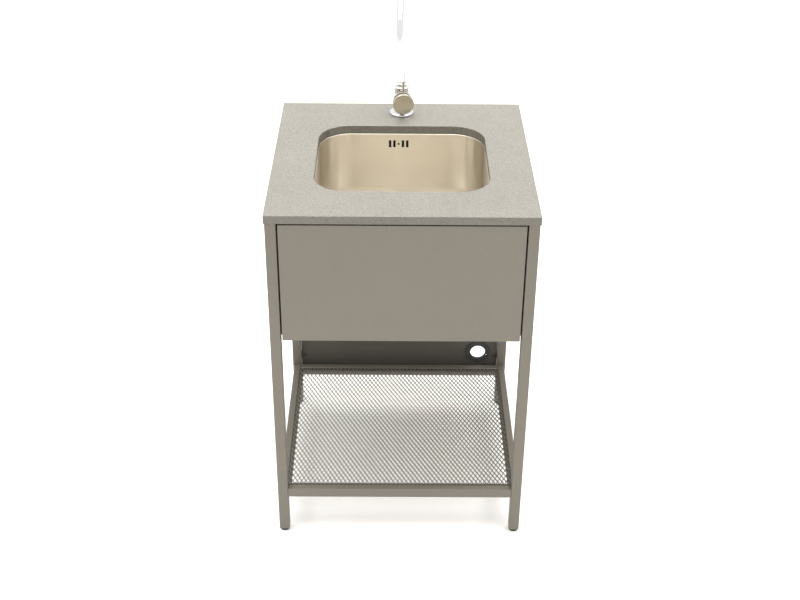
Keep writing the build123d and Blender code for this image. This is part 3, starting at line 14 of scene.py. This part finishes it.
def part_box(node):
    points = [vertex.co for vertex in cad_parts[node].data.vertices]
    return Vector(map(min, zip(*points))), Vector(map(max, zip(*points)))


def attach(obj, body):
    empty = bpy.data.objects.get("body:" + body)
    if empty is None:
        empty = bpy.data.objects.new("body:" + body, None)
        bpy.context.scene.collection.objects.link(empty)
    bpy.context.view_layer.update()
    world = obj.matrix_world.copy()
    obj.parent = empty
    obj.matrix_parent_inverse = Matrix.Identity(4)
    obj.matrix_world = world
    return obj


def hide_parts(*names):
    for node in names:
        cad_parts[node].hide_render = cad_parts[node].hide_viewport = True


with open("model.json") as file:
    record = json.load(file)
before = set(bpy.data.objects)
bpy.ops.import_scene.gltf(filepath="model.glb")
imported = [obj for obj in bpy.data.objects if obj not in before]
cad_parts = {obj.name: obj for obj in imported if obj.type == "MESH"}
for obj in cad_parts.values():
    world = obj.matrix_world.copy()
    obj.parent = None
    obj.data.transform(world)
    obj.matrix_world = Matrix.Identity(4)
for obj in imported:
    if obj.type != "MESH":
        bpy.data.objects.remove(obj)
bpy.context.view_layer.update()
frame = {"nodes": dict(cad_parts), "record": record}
MM = 0.001

# Camera ----------------------------------------------------------------------------------------------

CAMERA_PLACE = Vector((-0.0221, -2.7452, 2.1656))
CAMERA_YAW = math.radians(0.434)
CAMERA_PITCH = math.radians(31.405)
CAMERA_ROLL = math.radians(0.546)
CAMERA_LENS = 57.75
CAMERA_SENSOR = 36
CAMERA_NEAREST = 0.05
CAMERA_FARTHEST = 200


def make_camera():
    """The camera looks along its yaw and pitch, and rolls about its own line of sight."""
    ahead = Vector(
        (
            math.sin(CAMERA_YAW) * math.cos(CAMERA_PITCH),
            math.cos(CAMERA_YAW) * math.cos(CAMERA_PITCH),
            -math.sin(CAMERA_PITCH),
        )
    )
    right = Vector((math.cos(CAMERA_YAW), -math.sin(CAMERA_YAW), 0))
    up = right.cross(ahead)
    turned_right = math.cos(CAMERA_ROLL) * right + math.sin(CAMERA_ROLL) * up
    turned_up = -math.sin(CAMERA_ROLL) * right + math.cos(CAMERA_ROLL) * up
    data = bpy.data.cameras.new("camera")
    data.lens = CAMERA_LENS
    data.sensor_width = CAMERA_SENSOR
    data.clip_start = CAMERA_NEAREST
    data.clip_end = CAMERA_FARTHEST
    camera = bpy.data.objects.new("camera", data)
    bpy.context.scene.collection.objects.link(camera)
    camera.matrix_world = Matrix.Translation(CAMERA_PLACE) @ Matrix(
        (turned_right, turned_up, -ahead)
    ).transposed().to_4x4()
    bpy.context.scene.camera = camera


# Materials -------------------------------------------------------------------------------------------


class Shader:
    """One procedural material. Patterns are in the object's own metres, so they don't slide or stretch."""

    def __init__(self, name, roughness=0.5, metallic=0.0, **sockets):
        self.material = bpy.data.materials.new(name)
        self.material.use_nodes = True
        self.tree = self.material.node_tree
        self.surface = self.tree.nodes["Principled BSDF"]
        self.surface.inputs["Roughness"].default_value = roughness
        self.surface.inputs["Metallic"].default_value = metallic
        for socket, value in sockets.items():
            self.surface.inputs[socket.replace("_", " ")].default_value = value
        self.place = self.node("ShaderNodeTexCoord").outputs["Object"]

    def node(self, kind, **settings):
        made = self.tree.nodes.new(kind)
        for key, value in settings.items():
            setattr(made, key, value)
        return made

    def join(self, output, socket):
        self.tree.links.new(output, socket)

    def stretched(self, scale):
        """The place, scaled by a different amount along each axis."""
        mapping = self.node("ShaderNodeMapping")
        mapping.inputs["Scale"].default_value = scale
        self.join(self.place, mapping.inputs["Vector"])
        return mapping.outputs["Vector"]

    def noise(self, scale, detail=3.0, roughness=0.5, place=None, distortion=0.0):
        made = self.node("ShaderNodeTexNoise")
        made.inputs["Scale"].default_value = scale
        made.inputs["Detail"].default_value = detail
        made.inputs["Roughness"].default_value = roughness
        made.inputs["Distortion"].default_value = distortion
        self.join(place or self.place, made.inputs["Vector"])
        return made.outputs["Fac"]

    def grains(self, scale):
        """A random value for each grain, and the distance from its middle."""
        made = self.node("ShaderNodeTexVoronoi")
        made.inputs["Scale"].default_value = scale
        self.join(self.place, made.inputs["Vector"])
        split = self.node("ShaderNodeSeparateColor")
        self.join(made.outputs["Color"], split.inputs["Color"])
        return split.outputs["Red"], made.outputs["Distance"]

    def spread(self, value, low, high, from_low=0.0, from_high=1.0):
        """The value, moved from one range to another."""
        made = self.node("ShaderNodeMapRange")
        self.join(value, made.inputs["Value"])
        made.inputs["From Min"].default_value = from_low
        made.inputs["From Max"].default_value = from_high
        made.inputs["To Min"].default_value = low
        made.inputs["To Max"].default_value = high
        return made.outputs["Result"]

    def ramp(self, value, *stops):
        """A colour for each value; each stop is (value, colour)."""
        made = self.node("ShaderNodeValToRGB")
        ramp = made.color_ramp
        ramp.elements[0].position, ramp.elements[1].position = stops[0][0], stops[-1][0]
        ramp.elements[0].color = (*stops[0][1], 1)
        ramp.elements[1].color = (*stops[-1][1], 1)
        for position, colour in stops[1:-1]:
            ramp.elements.new(position).color = (*colour, 1)
        self.join(value, made.inputs["Fac"])
        return made.outputs["Color"]

    def mixed(self, share, first, second, blend="MIX"):
        """Two colours mixed; share is a number or a pattern."""
        made = self.node("ShaderNodeMix", data_type="RGBA", blend_type=blend)
        self.put(share, made.inputs[0])
        self.put(first, made.inputs[6])
        self.put(second, made.inputs[7])
        return made.outputs[2]

    def sum_of(self, first, second, weight=1.0):
        """first plus second times weight."""
        made = self.node("ShaderNodeMath", operation="MULTIPLY_ADD")
        self.put(second, made.inputs[0])
        made.inputs[1].default_value = weight
        self.put(first, made.inputs[2])
        return made.outputs["Value"]

    def upright_share(self):
        """1 where the surface is upright and 0 where it is level."""
        split = self.node("ShaderNodeSeparateXYZ")
        self.join(self.node("ShaderNodeNewGeometry").outputs["True Normal"], split.inputs["Vector"])
        level = self.node("ShaderNodeMath", operation="ABSOLUTE")
        self.join(split.outputs["Z"], level.inputs[0])
        return self.spread(level.outputs["Value"], 1.0, 0.0, 0.3, 0.7)

    def brushed_across(self, share):
        """Spreads reflections up and down, as level brush lines do; the tangent is turned by a quarter."""
        tangent = self.node("ShaderNodeTangent", direction_type="RADIAL", axis="Z")
        self.join(tangent.outputs["Tangent"], self.surface.inputs["Tangent"])
        self.surface.inputs["Anisotropic"].default_value = share
        self.surface.inputs["Anisotropic Rotation"].default_value = 0.25

    def put(self, value, socket):
        """Links a pattern to a socket, or sets a number or colour on it."""
        if isinstance(value, bpy.types.NodeSocket):
            self.join(value, socket)
        elif isinstance(value, tuple):
            socket.default_value = (*value, 1)
        else:
            socket.default_value = value

    def colour(self, value):
        self.put(value, self.surface.inputs["Base Color"])

    def roughness(self, value):
        self.put(value, self.surface.inputs["Roughness"])

    def bump(self, height, depth, strength=1.0):
        """Raises the surface by up to depth metres where height is 1."""
        made = self.node("ShaderNodeBump")
        made.inputs["Strength"].default_value = strength
        made.inputs["Distance"].default_value = depth
        self.join(height, made.inputs["Height"])
        self.join(made.outputs["Normal"], self.surface.inputs["Normal"])


def tinted(colour, factor):
    return tuple(channel * factor for channel in colour)


def powder_coat(name, colour, roughness=0.4):
    """Fine satin powder coat: orange peel, small flakes, and a slow change of tone over the panel."""
    made = Shader(name, metallic=0.25)
    flake, _ = made.grains(1900)
    cloud = made.noise(6, detail=4)
    flecked = made.ramp(flake, (0.0, tinted(colour, 0.9)), (0.6, colour), (1.0, tinted(colour, 1.13)))
    shaded = made.ramp(cloud, (0.3, (0.955, 0.955, 0.96)), (0.7, (0.99, 0.99, 0.99)))
    made.colour(made.mixed(1.0, flecked, shaded, "MULTIPLY"))
    made.roughness(made.spread(made.noise(45), roughness - 0.03, roughness + 0.04, 0.3, 0.7))
    made.bump(made.noise(1100, detail=2), 0.00006, 0.7)
    return made.material


# Painted shade: the stone's upright faces, its edges and the cut-out's walls, are darkened by this tint
# because they catch less of the overhead light.
UPRIGHT_SHADE_TINT = (0.66, 0.65, 0.63)


def honed_stone(name):
    """Fine-grained pale stone: fine sand, darker and lighter grains, faint clouds, and painted shade that
    darkens every upright face.
    """
    made = Shader(name, Specular_IOR_Level=0.55)
    fine, _ = made.grains(1500)
    coarse, coarse_distance = made.grains(520)
    sand = made.ramp(
        fine,
        (0.0, (0.14, 0.133, 0.116)),
        (0.3, (0.2, 0.192, 0.17)),
        (0.75, (0.235, 0.227, 0.204)),
        (1.0, (0.295, 0.286, 0.262)),
    )
    spots = made.ramp(
        coarse,
        (0.0, (0.74, 0.725, 0.7)),
        (0.16, (0.94, 0.935, 0.925)),
        (0.85, (1.0, 1.0, 0.99)),
        (1.0, (1.18, 1.17, 1.15)),
    )
    patches = made.noise(11, detail=5, roughness=0.6)
    cloud = made.ramp(patches, (0.3, (0.93, 0.935, 0.94)), (0.7, (1.03, 1.02, 1.0)))
    speckled = made.mixed(1.0, made.mixed(1.0, sand, spots, "MULTIPLY"), cloud, "MULTIPLY")
    # Painted shade on the upright faces, mixed in by how upright the surface is.
    shaded_uprights = made.mixed(1.0, speckled, UPRIGHT_SHADE_TINT, "MULTIPLY")
    made.colour(made.mixed(made.upright_share(), speckled, shaded_uprights))
    made.roughness(made.spread(made.noise(260, detail=4), 0.13, 0.24, 0.3, 0.7))
    made.bump(made.sum_of(made.noise(1400, detail=3), coarse_distance, -0.25), 0.00007, 0.55)
    return made.material


def brushed_steel(name, colour, roughness, grain=(14, 14, 2600), depth=0.00002, level_brush=0.0):
    """Brushed steel: long fine scratches along the low-frequency axes, over a soft cloudy sheen."""
    made = Shader(name, metallic=1.0)
    scratches = made.noise(1, detail=4, roughness=0.65, place=made.stretched(grain))
    cloud = made.noise(16, detail=3)
    lined = made.ramp(scratches, (0.25, tinted(colour, 0.94)), (0.75, tinted(colour, 1.03)))
    made.colour(made.mixed(0.35, lined, made.ramp(cloud, (0.3, tinted(colour, 0.93)), (0.7, colour))))
    worn = made.sum_of(scratches, cloud, 0.5)
    made.roughness(made.spread(worn, roughness - 0.07, roughness + 0.09, 0.35, 1.15))
    made.bump(scratches, depth, 0.6)
    if level_brush:
        made.brushed_across(level_brush)
    return made.material


def polished_chrome(name):
    """Bright chrome plate with faint wiping marks and water haze."""
    made = Shader(name, metallic=1.0)
    haze = made.noise(60, detail=5, roughness=0.6)
    wipe = made.noise(1, detail=3, place=made.stretched((900, 160, 160)))
    made.colour(made.ramp(haze, (0.3, (0.83, 0.83, 0.82)), (0.7, (0.9, 0.9, 0.89))))
    made.roughness(made.spread(made.sum_of(haze, wipe, 0.6), 0.03, 0.12, 0.5, 1.1))
    made.bump(wipe, 0.000002, 0.3)
    return made.material


def moulded_plastic(name, colour, roughness, texture=900, depth=0.00003):
    """Moulded plastic with a fine sparked skin and a slightly uneven tone."""
    made = Shader(name)
    cloud = made.noise(30, detail=4)
    made.colour(made.ramp(cloud, (0.3, tinted(colour, 0.93)), (0.7, tinted(colour, 1.03))))
    made.roughness(made.spread(made.noise(140), roughness - 0.06, roughness + 0.08, 0.3, 0.7))
    made.bump(made.noise(texture, detail=2), depth, 0.6)
    return made.material


def turned_metal(name, colour, roughness):
    """Turned or drawn metal for fasteners: tight lines, and a little staining."""
    made = Shader(name, metallic=1.0)
    lines = made.noise(1, detail=3, place=made.stretched((500, 500, 3200)))
    stain = made.noise(90, detail=5, roughness=0.6)
    made.colour(made.ramp(stain, (0.3, tinted(colour, 0.8)), (0.7, tinted(colour, 1.04))))
    made.roughness(made.spread(made.sum_of(lines, stain), roughness - 0.08, roughness + 0.1, 0.7, 1.3))
    made.bump(lines, 0.00002, 0.5)
    return made.material


PAINT = (0.162, 0.148, 0.123)
# Painted shade: the back panel, its tabs and the shelf ledges get this darker paint for the shade under the
# bowl and in the mesh holes over the ledges, not for a darker coat.
SHADE_DARKENED_PAINT = (0.088, 0.081, 0.069)

FINISHES = {
    "frame_paint": powder_coat("frame_powder_coat", PAINT),
    "panel_paint": powder_coat("panel_powder_coat", tinted(PAINT, 1.05)),
    # Painted shade: the darker coat for the back panel, its tabs and the shelf ledges.
    "dark_paint": powder_coat("shade_darkened_powder_coat", SHADE_DARKENED_PAINT),
    "black_plastic": moulded_plastic("black_plastic", (0.022, 0.021, 0.019), 0.55),
    "stone": honed_stone("honed_stone"),
    "bowl_steel": brushed_steel(
        "bowl_brushed_steel", (0.705, 0.66, 0.575), 0.32, depth=0.000008, level_brush=0.75
    ),
    "fastener_steel": turned_metal("fastener_steel", (0.6, 0.59, 0.57), 0.34),
    # Painted shade: darker screw metal for the shade in the screws' recesses.
    "shade_darkened_screw": turned_metal("shade_darkened_screw", (0.11, 0.105, 0.095), 0.5),
    "dark_rubber": moulded_plastic("dark_rubber", (0.035, 0.034, 0.032), 0.72, texture=1500),
    "white_plastic": moulded_plastic("white_polypropylene", (0.74, 0.735, 0.7), 0.36),
    "tap_chrome": polished_chrome("tap_chrome"),
    "satin_nickel": brushed_steel("satin_nickel", (0.57, 0.545, 0.475), 0.3, grain=(1400, 1400, 60)),
    "tap_brass": turned_metal("turned_brass", (0.62, 0.45, 0.19), 0.32),
    "cartridge_plastic": moulded_plastic("grey_plastic", (0.5, 0.5, 0.48), 0.45),
}


# The two kinds of screw that are seen get a darker finish than the slot's other parts: painted shade for the
# shadow in their recesses.
NODE_FINISHES = {"overflow_screw": "shade_darkened_screw", "back_panel_screws": "shade_darkened_screw"}


def dress_nodes():
    """Gives each CAD node the finish of its slot in the record, or its own."""
    for row in frame["record"]["subparts"]:
        slot = NODE_FINISHES.get(row["node"], row["material_slot"])
        mesh = frame["nodes"][row["node"]].data
        mesh.materials.clear()
        mesh.materials.append(FINISHES[slot])


# Expanded-metal shelf ----------------------------------------------------------------------------------

MESH_PITCH_X = 10.75 * MM
MESH_PITCH_Y = 21.6 * MM
STRAND_WIDTH = 1.8 * MM
SHEET_THICKNESS = 1.5 * MM
NOTCH_GAP = 0.5 * MM


def new_object(name, mesh_data, slot, body, smooth=False):
    """Turns a bmesh into a named piece with a finish, which rides on a body."""
    data = bpy.data.meshes.new(name)
    mesh_data.to_mesh(data)
    mesh_data.free()
    for polygon in data.polygons:
        polygon.use_smooth = smooth
    made = bpy.data.objects.new(name, data)
    bpy.context.scene.collection.objects.link(made)
    data.materials.append(FINISHES[slot])
    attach(made, body)
    return made


def make_expanded_metal():
    """The slit and stretched sheet: strands lean, so a hole's left corner is high and its right one low."""
    low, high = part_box("shelf_mesh")
    notch_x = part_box("shelf_rail_front")[1].x - NOTCH_GAP
    notch_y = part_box("leg_front_left")[1].y + NOTCH_GAP
    spacing = MESH_PITCH_X * MESH_PITCH_Y / 2 / math.hypot(MESH_PITCH_X / 2, MESH_PITCH_Y / 2)
    share = 1 - STRAND_WIDTH / spacing
    half_x = MESH_PITCH_X / 2 * share
    half_y = MESH_PITCH_Y / 2 * share
    lift = (high.z - low.z - SHEET_THICKNESS) / 2
    middle = (low + high) / 2
    corners = {
        "left": Vector((-half_x, 0, lift)),
        "right": Vector((half_x, 0, -lift)),
        "top": Vector((0, half_y, 0)),
        "bottom": Vector((0, -half_y, 0)),
    }
    columns = math.ceil((high.x - low.x) / MESH_PITCH_X) + 1
    rows = math.ceil((high.y - low.y) / MESH_PITCH_Y) + 1
    sheet = bmesh.new()
    points = {}
    holes = [
        (i, j)
        for i in range(-columns, columns + 1)
        for j in range(-rows, rows + 1)
        if (i + j) % 2 == 0
    ]
    for i, j in holes:
        centre = middle + Vector((i * MESH_PITCH_X / 2, j * MESH_PITCH_Y / 2, 0))
        for corner, offset in corners.items():
            for side in (-1, 1):
                place = centre + offset + Vector((0, 0, side * SHEET_THICKNESS / 2))
                points[i, j, corner, side] = sheet.verts.new(place)

    def face(*names):
        """One four-sided face of the top, and the same one turned over on the underside."""
        if all((i, j, corner, 1) in points for i, j, corner in names):
            sheet.faces.new([points[i, j, corner, 1] for i, j, corner in names])
            sheet.faces.new([points[i, j, corner, -1] for i, j, corner in reversed(names)])

    for i, j in holes:
        face((i, j, "right"), (i + 1, j + 1, "bottom"), (i + 1, j + 1, "left"), (i, j, "top"))
        face((i, j, "bottom"), (i + 1, j - 1, "left"), (i + 1, j - 1, "top"), (i, j, "right"))
        face((i, j, "right"), (i + 1, j - 1, "top"), (i + 2, j, "left"), (i + 1, j + 1, "bottom"))
        around = ("right", "top", "left", "bottom", "right")
        for first, second in zip(around, around[1:]):
            sheet.faces.new(
                [
                    points[i, j, first, 1],
                    points[i, j, second, 1],
                    points[i, j, second, -1],
                    points[i, j, first, -1],
                ]
            )
    for place, outward in (
        (low, Vector((-1, 0, 0))),
        (low, Vector((0, -1, 0))),
        (high, Vector((1, 0, 0))),
        (high, Vector((0, 1, 0))),
    ):
        geometry = sheet.verts[:] + sheet.edges[:] + sheet.faces[:]
        bmesh.ops.bisect_plane(
            sheet, geom=geometry, plane_co=place, plane_no=outward, clear_outer=True
        )
    for place, outward in (
        (Vector((-notch_x, 0, 0)), Vector((1, 0, 0))),
        (Vector((notch_x, 0, 0)), Vector((1, 0, 0))),
        (Vector((0, notch_y, 0)), Vector((0, 1, 0))),
    ):
        geometry = sheet.verts[:] + sheet.edges[:] + sheet.faces[:]
        bmesh.ops.bisect_plane(sheet, geom=geometry, plane_co=place, plane_no=outward)
    notched = [
        f
        for f in sheet.faces
        if abs(f.calc_center_median().x) > notch_x and f.calc_center_median().y < notch_y
    ]
    bmesh.ops.delete(sheet, geom=notched, context="FACES")
    bmesh.ops.holes_fill(sheet, edges=[e for e in sheet.edges if e.is_boundary], sides=0)
    bmesh.ops.recalc_face_normals(sheet, faces=sheet.faces[:])
    made = new_object("expanded_metal", sheet, "frame_paint", "frame")
    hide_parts("shelf_mesh")


# Overflow hose -----------------------------------------------------------------------------------------

HOSE_BEND = 78 * MM
HOSE_PITCH = 4.2 * MM
HOSE_STEP = 0.7 * MM
HOSE_CUFF = 15 * MM
HOSE_RIB = 0.85 * MM
HOSE_BORE = 8.75 * MM
HOSE_BORE_STEPS = 60
HOSE_SIDES = 28


def make_overflow_hose():
    """The corrugated hose: down behind the bowl, round one bend, and forward to the drain."""
    low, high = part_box("overflow_hose")
    radius = (high.x - low.x) / 2
    top = Vector((0, high.y - radius, high.z))
    bottom_z = low.z + radius
    corner = Vector((0, top.y - HOSE_BEND, bottom_z + HOSE_BEND))
    down = top.z - corner.z
    turn = HOSE_BEND * math.pi / 2
    length = down + turn + corner.y - low.y
    hose = bmesh.new()

    def ring(at, wall):
        """One ring of points, at a distance along the hose."""
        if at < down:
            centre = top - Vector((0, 0, at))
            ahead = Vector((0, 0, -1))
        elif at < down + turn:
            angle = (at - down) / HOSE_BEND
            centre = corner + HOSE_BEND * Vector((0, math.cos(angle), -math.sin(angle)))
            ahead = Vector((0, -math.sin(angle), -math.cos(angle)))
        else:
            centre = Vector((0, corner.y - (at - down - turn), bottom_z))
            ahead = Vector((0, -1, 0))
        side = Vector((1, 0, 0))
        up = ahead.cross(side)
        turns = [2 * math.pi * k / HOSE_SIDES for k in range(HOSE_SIDES)]
        return [hose.verts.new(centre + wall * (math.cos(a) * side + math.sin(a) * up)) for a in turns]

    steps = math.ceil(length / HOSE_STEP)
    rings = []
    for step in range(steps + 1):
        at = length * step / steps
        ribbed = HOSE_CUFF < at < length - HOSE_CUFF
        wave = (1 - math.cos(2 * math.pi * (at - HOSE_CUFF) / HOSE_PITCH)) / 2 if ribbed else 0
        rings.append(ring(at, radius - HOSE_RIB * wave))
    for step in range(HOSE_BORE_STEPS + 1):
        rings.append(ring(length * (1 - step / HOSE_BORE_STEPS), HOSE_BORE))
    rings.append(rings[0])
    for first, second in zip(rings, rings[1:]):
        for k in range(HOSE_SIDES):
            after = (k + 1) % HOSE_SIDES
            hose.faces.new([first[k], first[after], second[after], second[k]])
    bmesh.ops.recalc_face_normals(hose, faces=hose.faces[:])
    made = new_object("corrugated_hose", hose, "white_plastic", "frame", smooth=True)
    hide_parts("overflow_hose")


# Welds -------------------------------------------------------------------------------------------------

BEAD_RADIUS = 1.3 * MM
BEAD_RIPPLE = 0.16 * MM
BEAD_PITCH = 2.4 * MM
BEAD_STEP = 0.6 * MM
BEAD_SIDES = 10
BEAD_INSET = 2 * MM


def weld_bead(weld, start, end):
    """One rippled bead from start to end, with rounded ends."""
    along = end - start
    length = along.length
    ahead = along.normalized()
    side = ahead.orthogonal().normalized()
    up = ahead.cross(side)
    steps = math.ceil(length / BEAD_STEP)
    turns = [2 * math.pi * k / BEAD_SIDES for k in range(BEAD_SIDES)]
    rings = []
    for step in range(1, steps):
        at = length * step / steps
        to_end = min(at, length - at)
        rounded = math.sqrt(1 - max(0, 1 - to_end / BEAD_RADIUS) ** 2)
        radius = rounded * (BEAD_RADIUS + BEAD_RIPPLE * math.sin(2 * math.pi * at / BEAD_PITCH))
        centre = start + at * ahead
        rings.append(
            [weld.verts.new(centre + radius * (math.cos(a) * side + math.sin(a) * up)) for a in turns]
        )
    for first, second in zip(rings, rings[1:]):
        for k in range(BEAD_SIDES):
            after = (k + 1) % BEAD_SIDES
            weld.faces.new([first[k], first[after], second[after], second[k]])
    weld.faces.new(list(reversed(rings[0])))
    weld.faces.new(rings[-1])


def make_welds():
    """Beads under each rail and along its inner face, where its ends meet the legs."""
    rails = [name for name in frame["nodes"] if name.startswith(("top_rail", "shelf_rail"))]
    for rail in rails:
        low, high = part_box(rail)
        middle = (low + high) / 2
        weld = bmesh.new()
        if high.x - low.x > high.y - low.y:
            inner = high.y if middle.y < 0 else low.y
            for end in (low.x, high.x):
                weld_bead(
                    weld,
                    Vector((end, low.y + BEAD_INSET, low.z)),
                    Vector((end, high.y - BEAD_INSET, low.z)),
                )
                weld_bead(
                    weld,
                    Vector((end, inner, low.z + BEAD_INSET)),
                    Vector((end, inner, high.z - BEAD_INSET)),
                )
        else:
            inner = high.x if middle.x < 0 else low.x
            for end in (low.y, high.y):
                weld_bead(
                    weld,
                    Vector((low.x + BEAD_INSET, end, low.z)),
                    Vector((high.x - BEAD_INSET, end, low.z)),
                )
                weld_bead(
                    weld,
                    Vector((inner, end, low.z + BEAD_INSET)),
                    Vector((inner, end, high.z - BEAD_INSET)),
                )
        bmesh.ops.recalc_face_normals(weld, faces=weld.faces[:])
        new_object("weld_" + rail, weld, "frame_paint", "frame", smooth=True)


# Tap shank thread --------------------------------------------------------------------------------------

SHANK_RADIUS = 15 * MM
THREAD_PITCH = 1.5 * MM
THREAD_DEPTH = 0.45 * MM
THREAD_SINK = 0.05 * MM
THREAD_LENGTH = 27 * MM
THREAD_START = 0.8 * MM
THREAD_SIDES = 64
THREAD_STEPS = 8


def make_shank_thread():
    """The thread on the tap's shank, below its nut: one ridge that winds round the plain shank."""
    nut_low, nut_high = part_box("tap_locknut")
    axis = (nut_low + nut_high) / 2
    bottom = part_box("tap_body")[0].z + THREAD_START
    thread = bmesh.new()
    rows = round(THREAD_LENGTH / THREAD_PITCH * THREAD_STEPS)
    rings = []
    for row in range(rows + 1):
        z = bottom + THREAD_LENGTH * row / rows
        fade = min(1, row / THREAD_STEPS, (rows - row) / THREAD_STEPS)
        ring = []
        for k in range(THREAD_SIDES):
            turn = 2 * math.pi * k / THREAD_SIDES
            wave = (1 + math.cos(2 * math.pi * (z / THREAD_PITCH) - turn)) / 2
            radius = SHANK_RADIUS - THREAD_SINK + fade * (THREAD_DEPTH * wave + THREAD_SINK)
            x = axis.x + radius * math.cos(turn)
            y = axis.y + radius * math.sin(turn)
            ring.append(thread.verts.new((x, y, z)))
        rings.append(ring)
    for first, second in zip(rings, rings[1:]):
        for k in range(THREAD_SIDES):
            after = (k + 1) % THREAD_SIDES
            thread.faces.new([first[k], first[after], second[after], second[k]])
    thread.faces.new(list(reversed(rings[0])))
    thread.faces.new(rings[-1])
    new_object("shank_thread", thread, "tap_brass", "frame", smooth=True)


# Studio ------------------------------------------------------------------------------------------------

FLOOR_HALF_SIDE = 30
FLOOR_GLOW = 0.2
LIGHT_SIDE = 5.0
LIGHT_PLACE = (0, 0.3, 4.2)
LIGHT_POWER = 310
ROOM_NEAR = (0.2, (0.96, 0.95, 0.93))
ROOM_FAR = (0.75, (1.0, 0.99, 0.97))


def make_studio():
    """A wide pale floor, a large soft light overhead and a pale room, darker on the camera's side."""
    floor = bmesh.new()
    bmesh.ops.create_grid(floor, x_segments=1, y_segments=1, size=FLOOR_HALF_SIDE)
    data = bpy.data.meshes.new("studio_floor")
    floor.to_mesh(data)
    floor.free()
    made = Shader("studio_floor", roughness=0.55)
    made.colour(made.ramp(made.noise(1.5), (0.3, (0.9, 0.895, 0.88)), (0.7, (0.92, 0.915, 0.9))))
    made.surface.inputs["Emission Color"].default_value = (1.0, 0.98, 0.95, 1)
    made.surface.inputs["Emission Strength"].default_value = FLOOR_GLOW
    data.materials.append(made.material)
    plane = bpy.data.objects.new("studio_floor", data)
    bpy.context.scene.collection.objects.link(plane)

    light = bpy.data.lights.new("overhead_softbox", "AREA")
    light.shape = "RECTANGLE"
    light.size = LIGHT_SIDE
    light.size_y = LIGHT_SIDE
    light.energy = LIGHT_POWER
    light.color = (1.0, 0.985, 0.96)
    lamp = bpy.data.objects.new("overhead_softbox", light)
    lamp.location = LIGHT_PLACE
    bpy.context.scene.collection.objects.link(lamp)

    world = bpy.data.worlds.new("studio")
    bpy.context.scene.world = world
    world.use_nodes = True
    tree = world.node_tree
    background = tree.nodes["Background"]
    background.inputs["Strength"].default_value = 1.0
    place = tree.nodes.new("ShaderNodeTexCoord")
    split = tree.nodes.new("ShaderNodeSeparateXYZ")
    ramp = tree.nodes.new("ShaderNodeValToRGB")
    spread = tree.nodes.new("ShaderNodeMapRange")
    spread.inputs["From Min"].default_value = -1
    tree.links.new(place.outputs["Generated"], split.inputs["Vector"])
    tree.links.new(split.outputs["Y"], spread.inputs["Value"])
    tree.links.new(spread.outputs["Result"], ramp.inputs["Fac"])
    for element, (position, colour) in zip(ramp.color_ramp.elements, (ROOM_NEAR, ROOM_FAR)):
        element.position = position
        element.color = (*colour, 1)
    tree.links.new(ramp.outputs["Color"], background.inputs["Color"])
    bpy.context.scene.view_settings.view_transform = "Standard"


make_camera()
dress_nodes()
make_expanded_metal()
make_overflow_hose()
make_welds()
make_shank_thread()
make_studio()
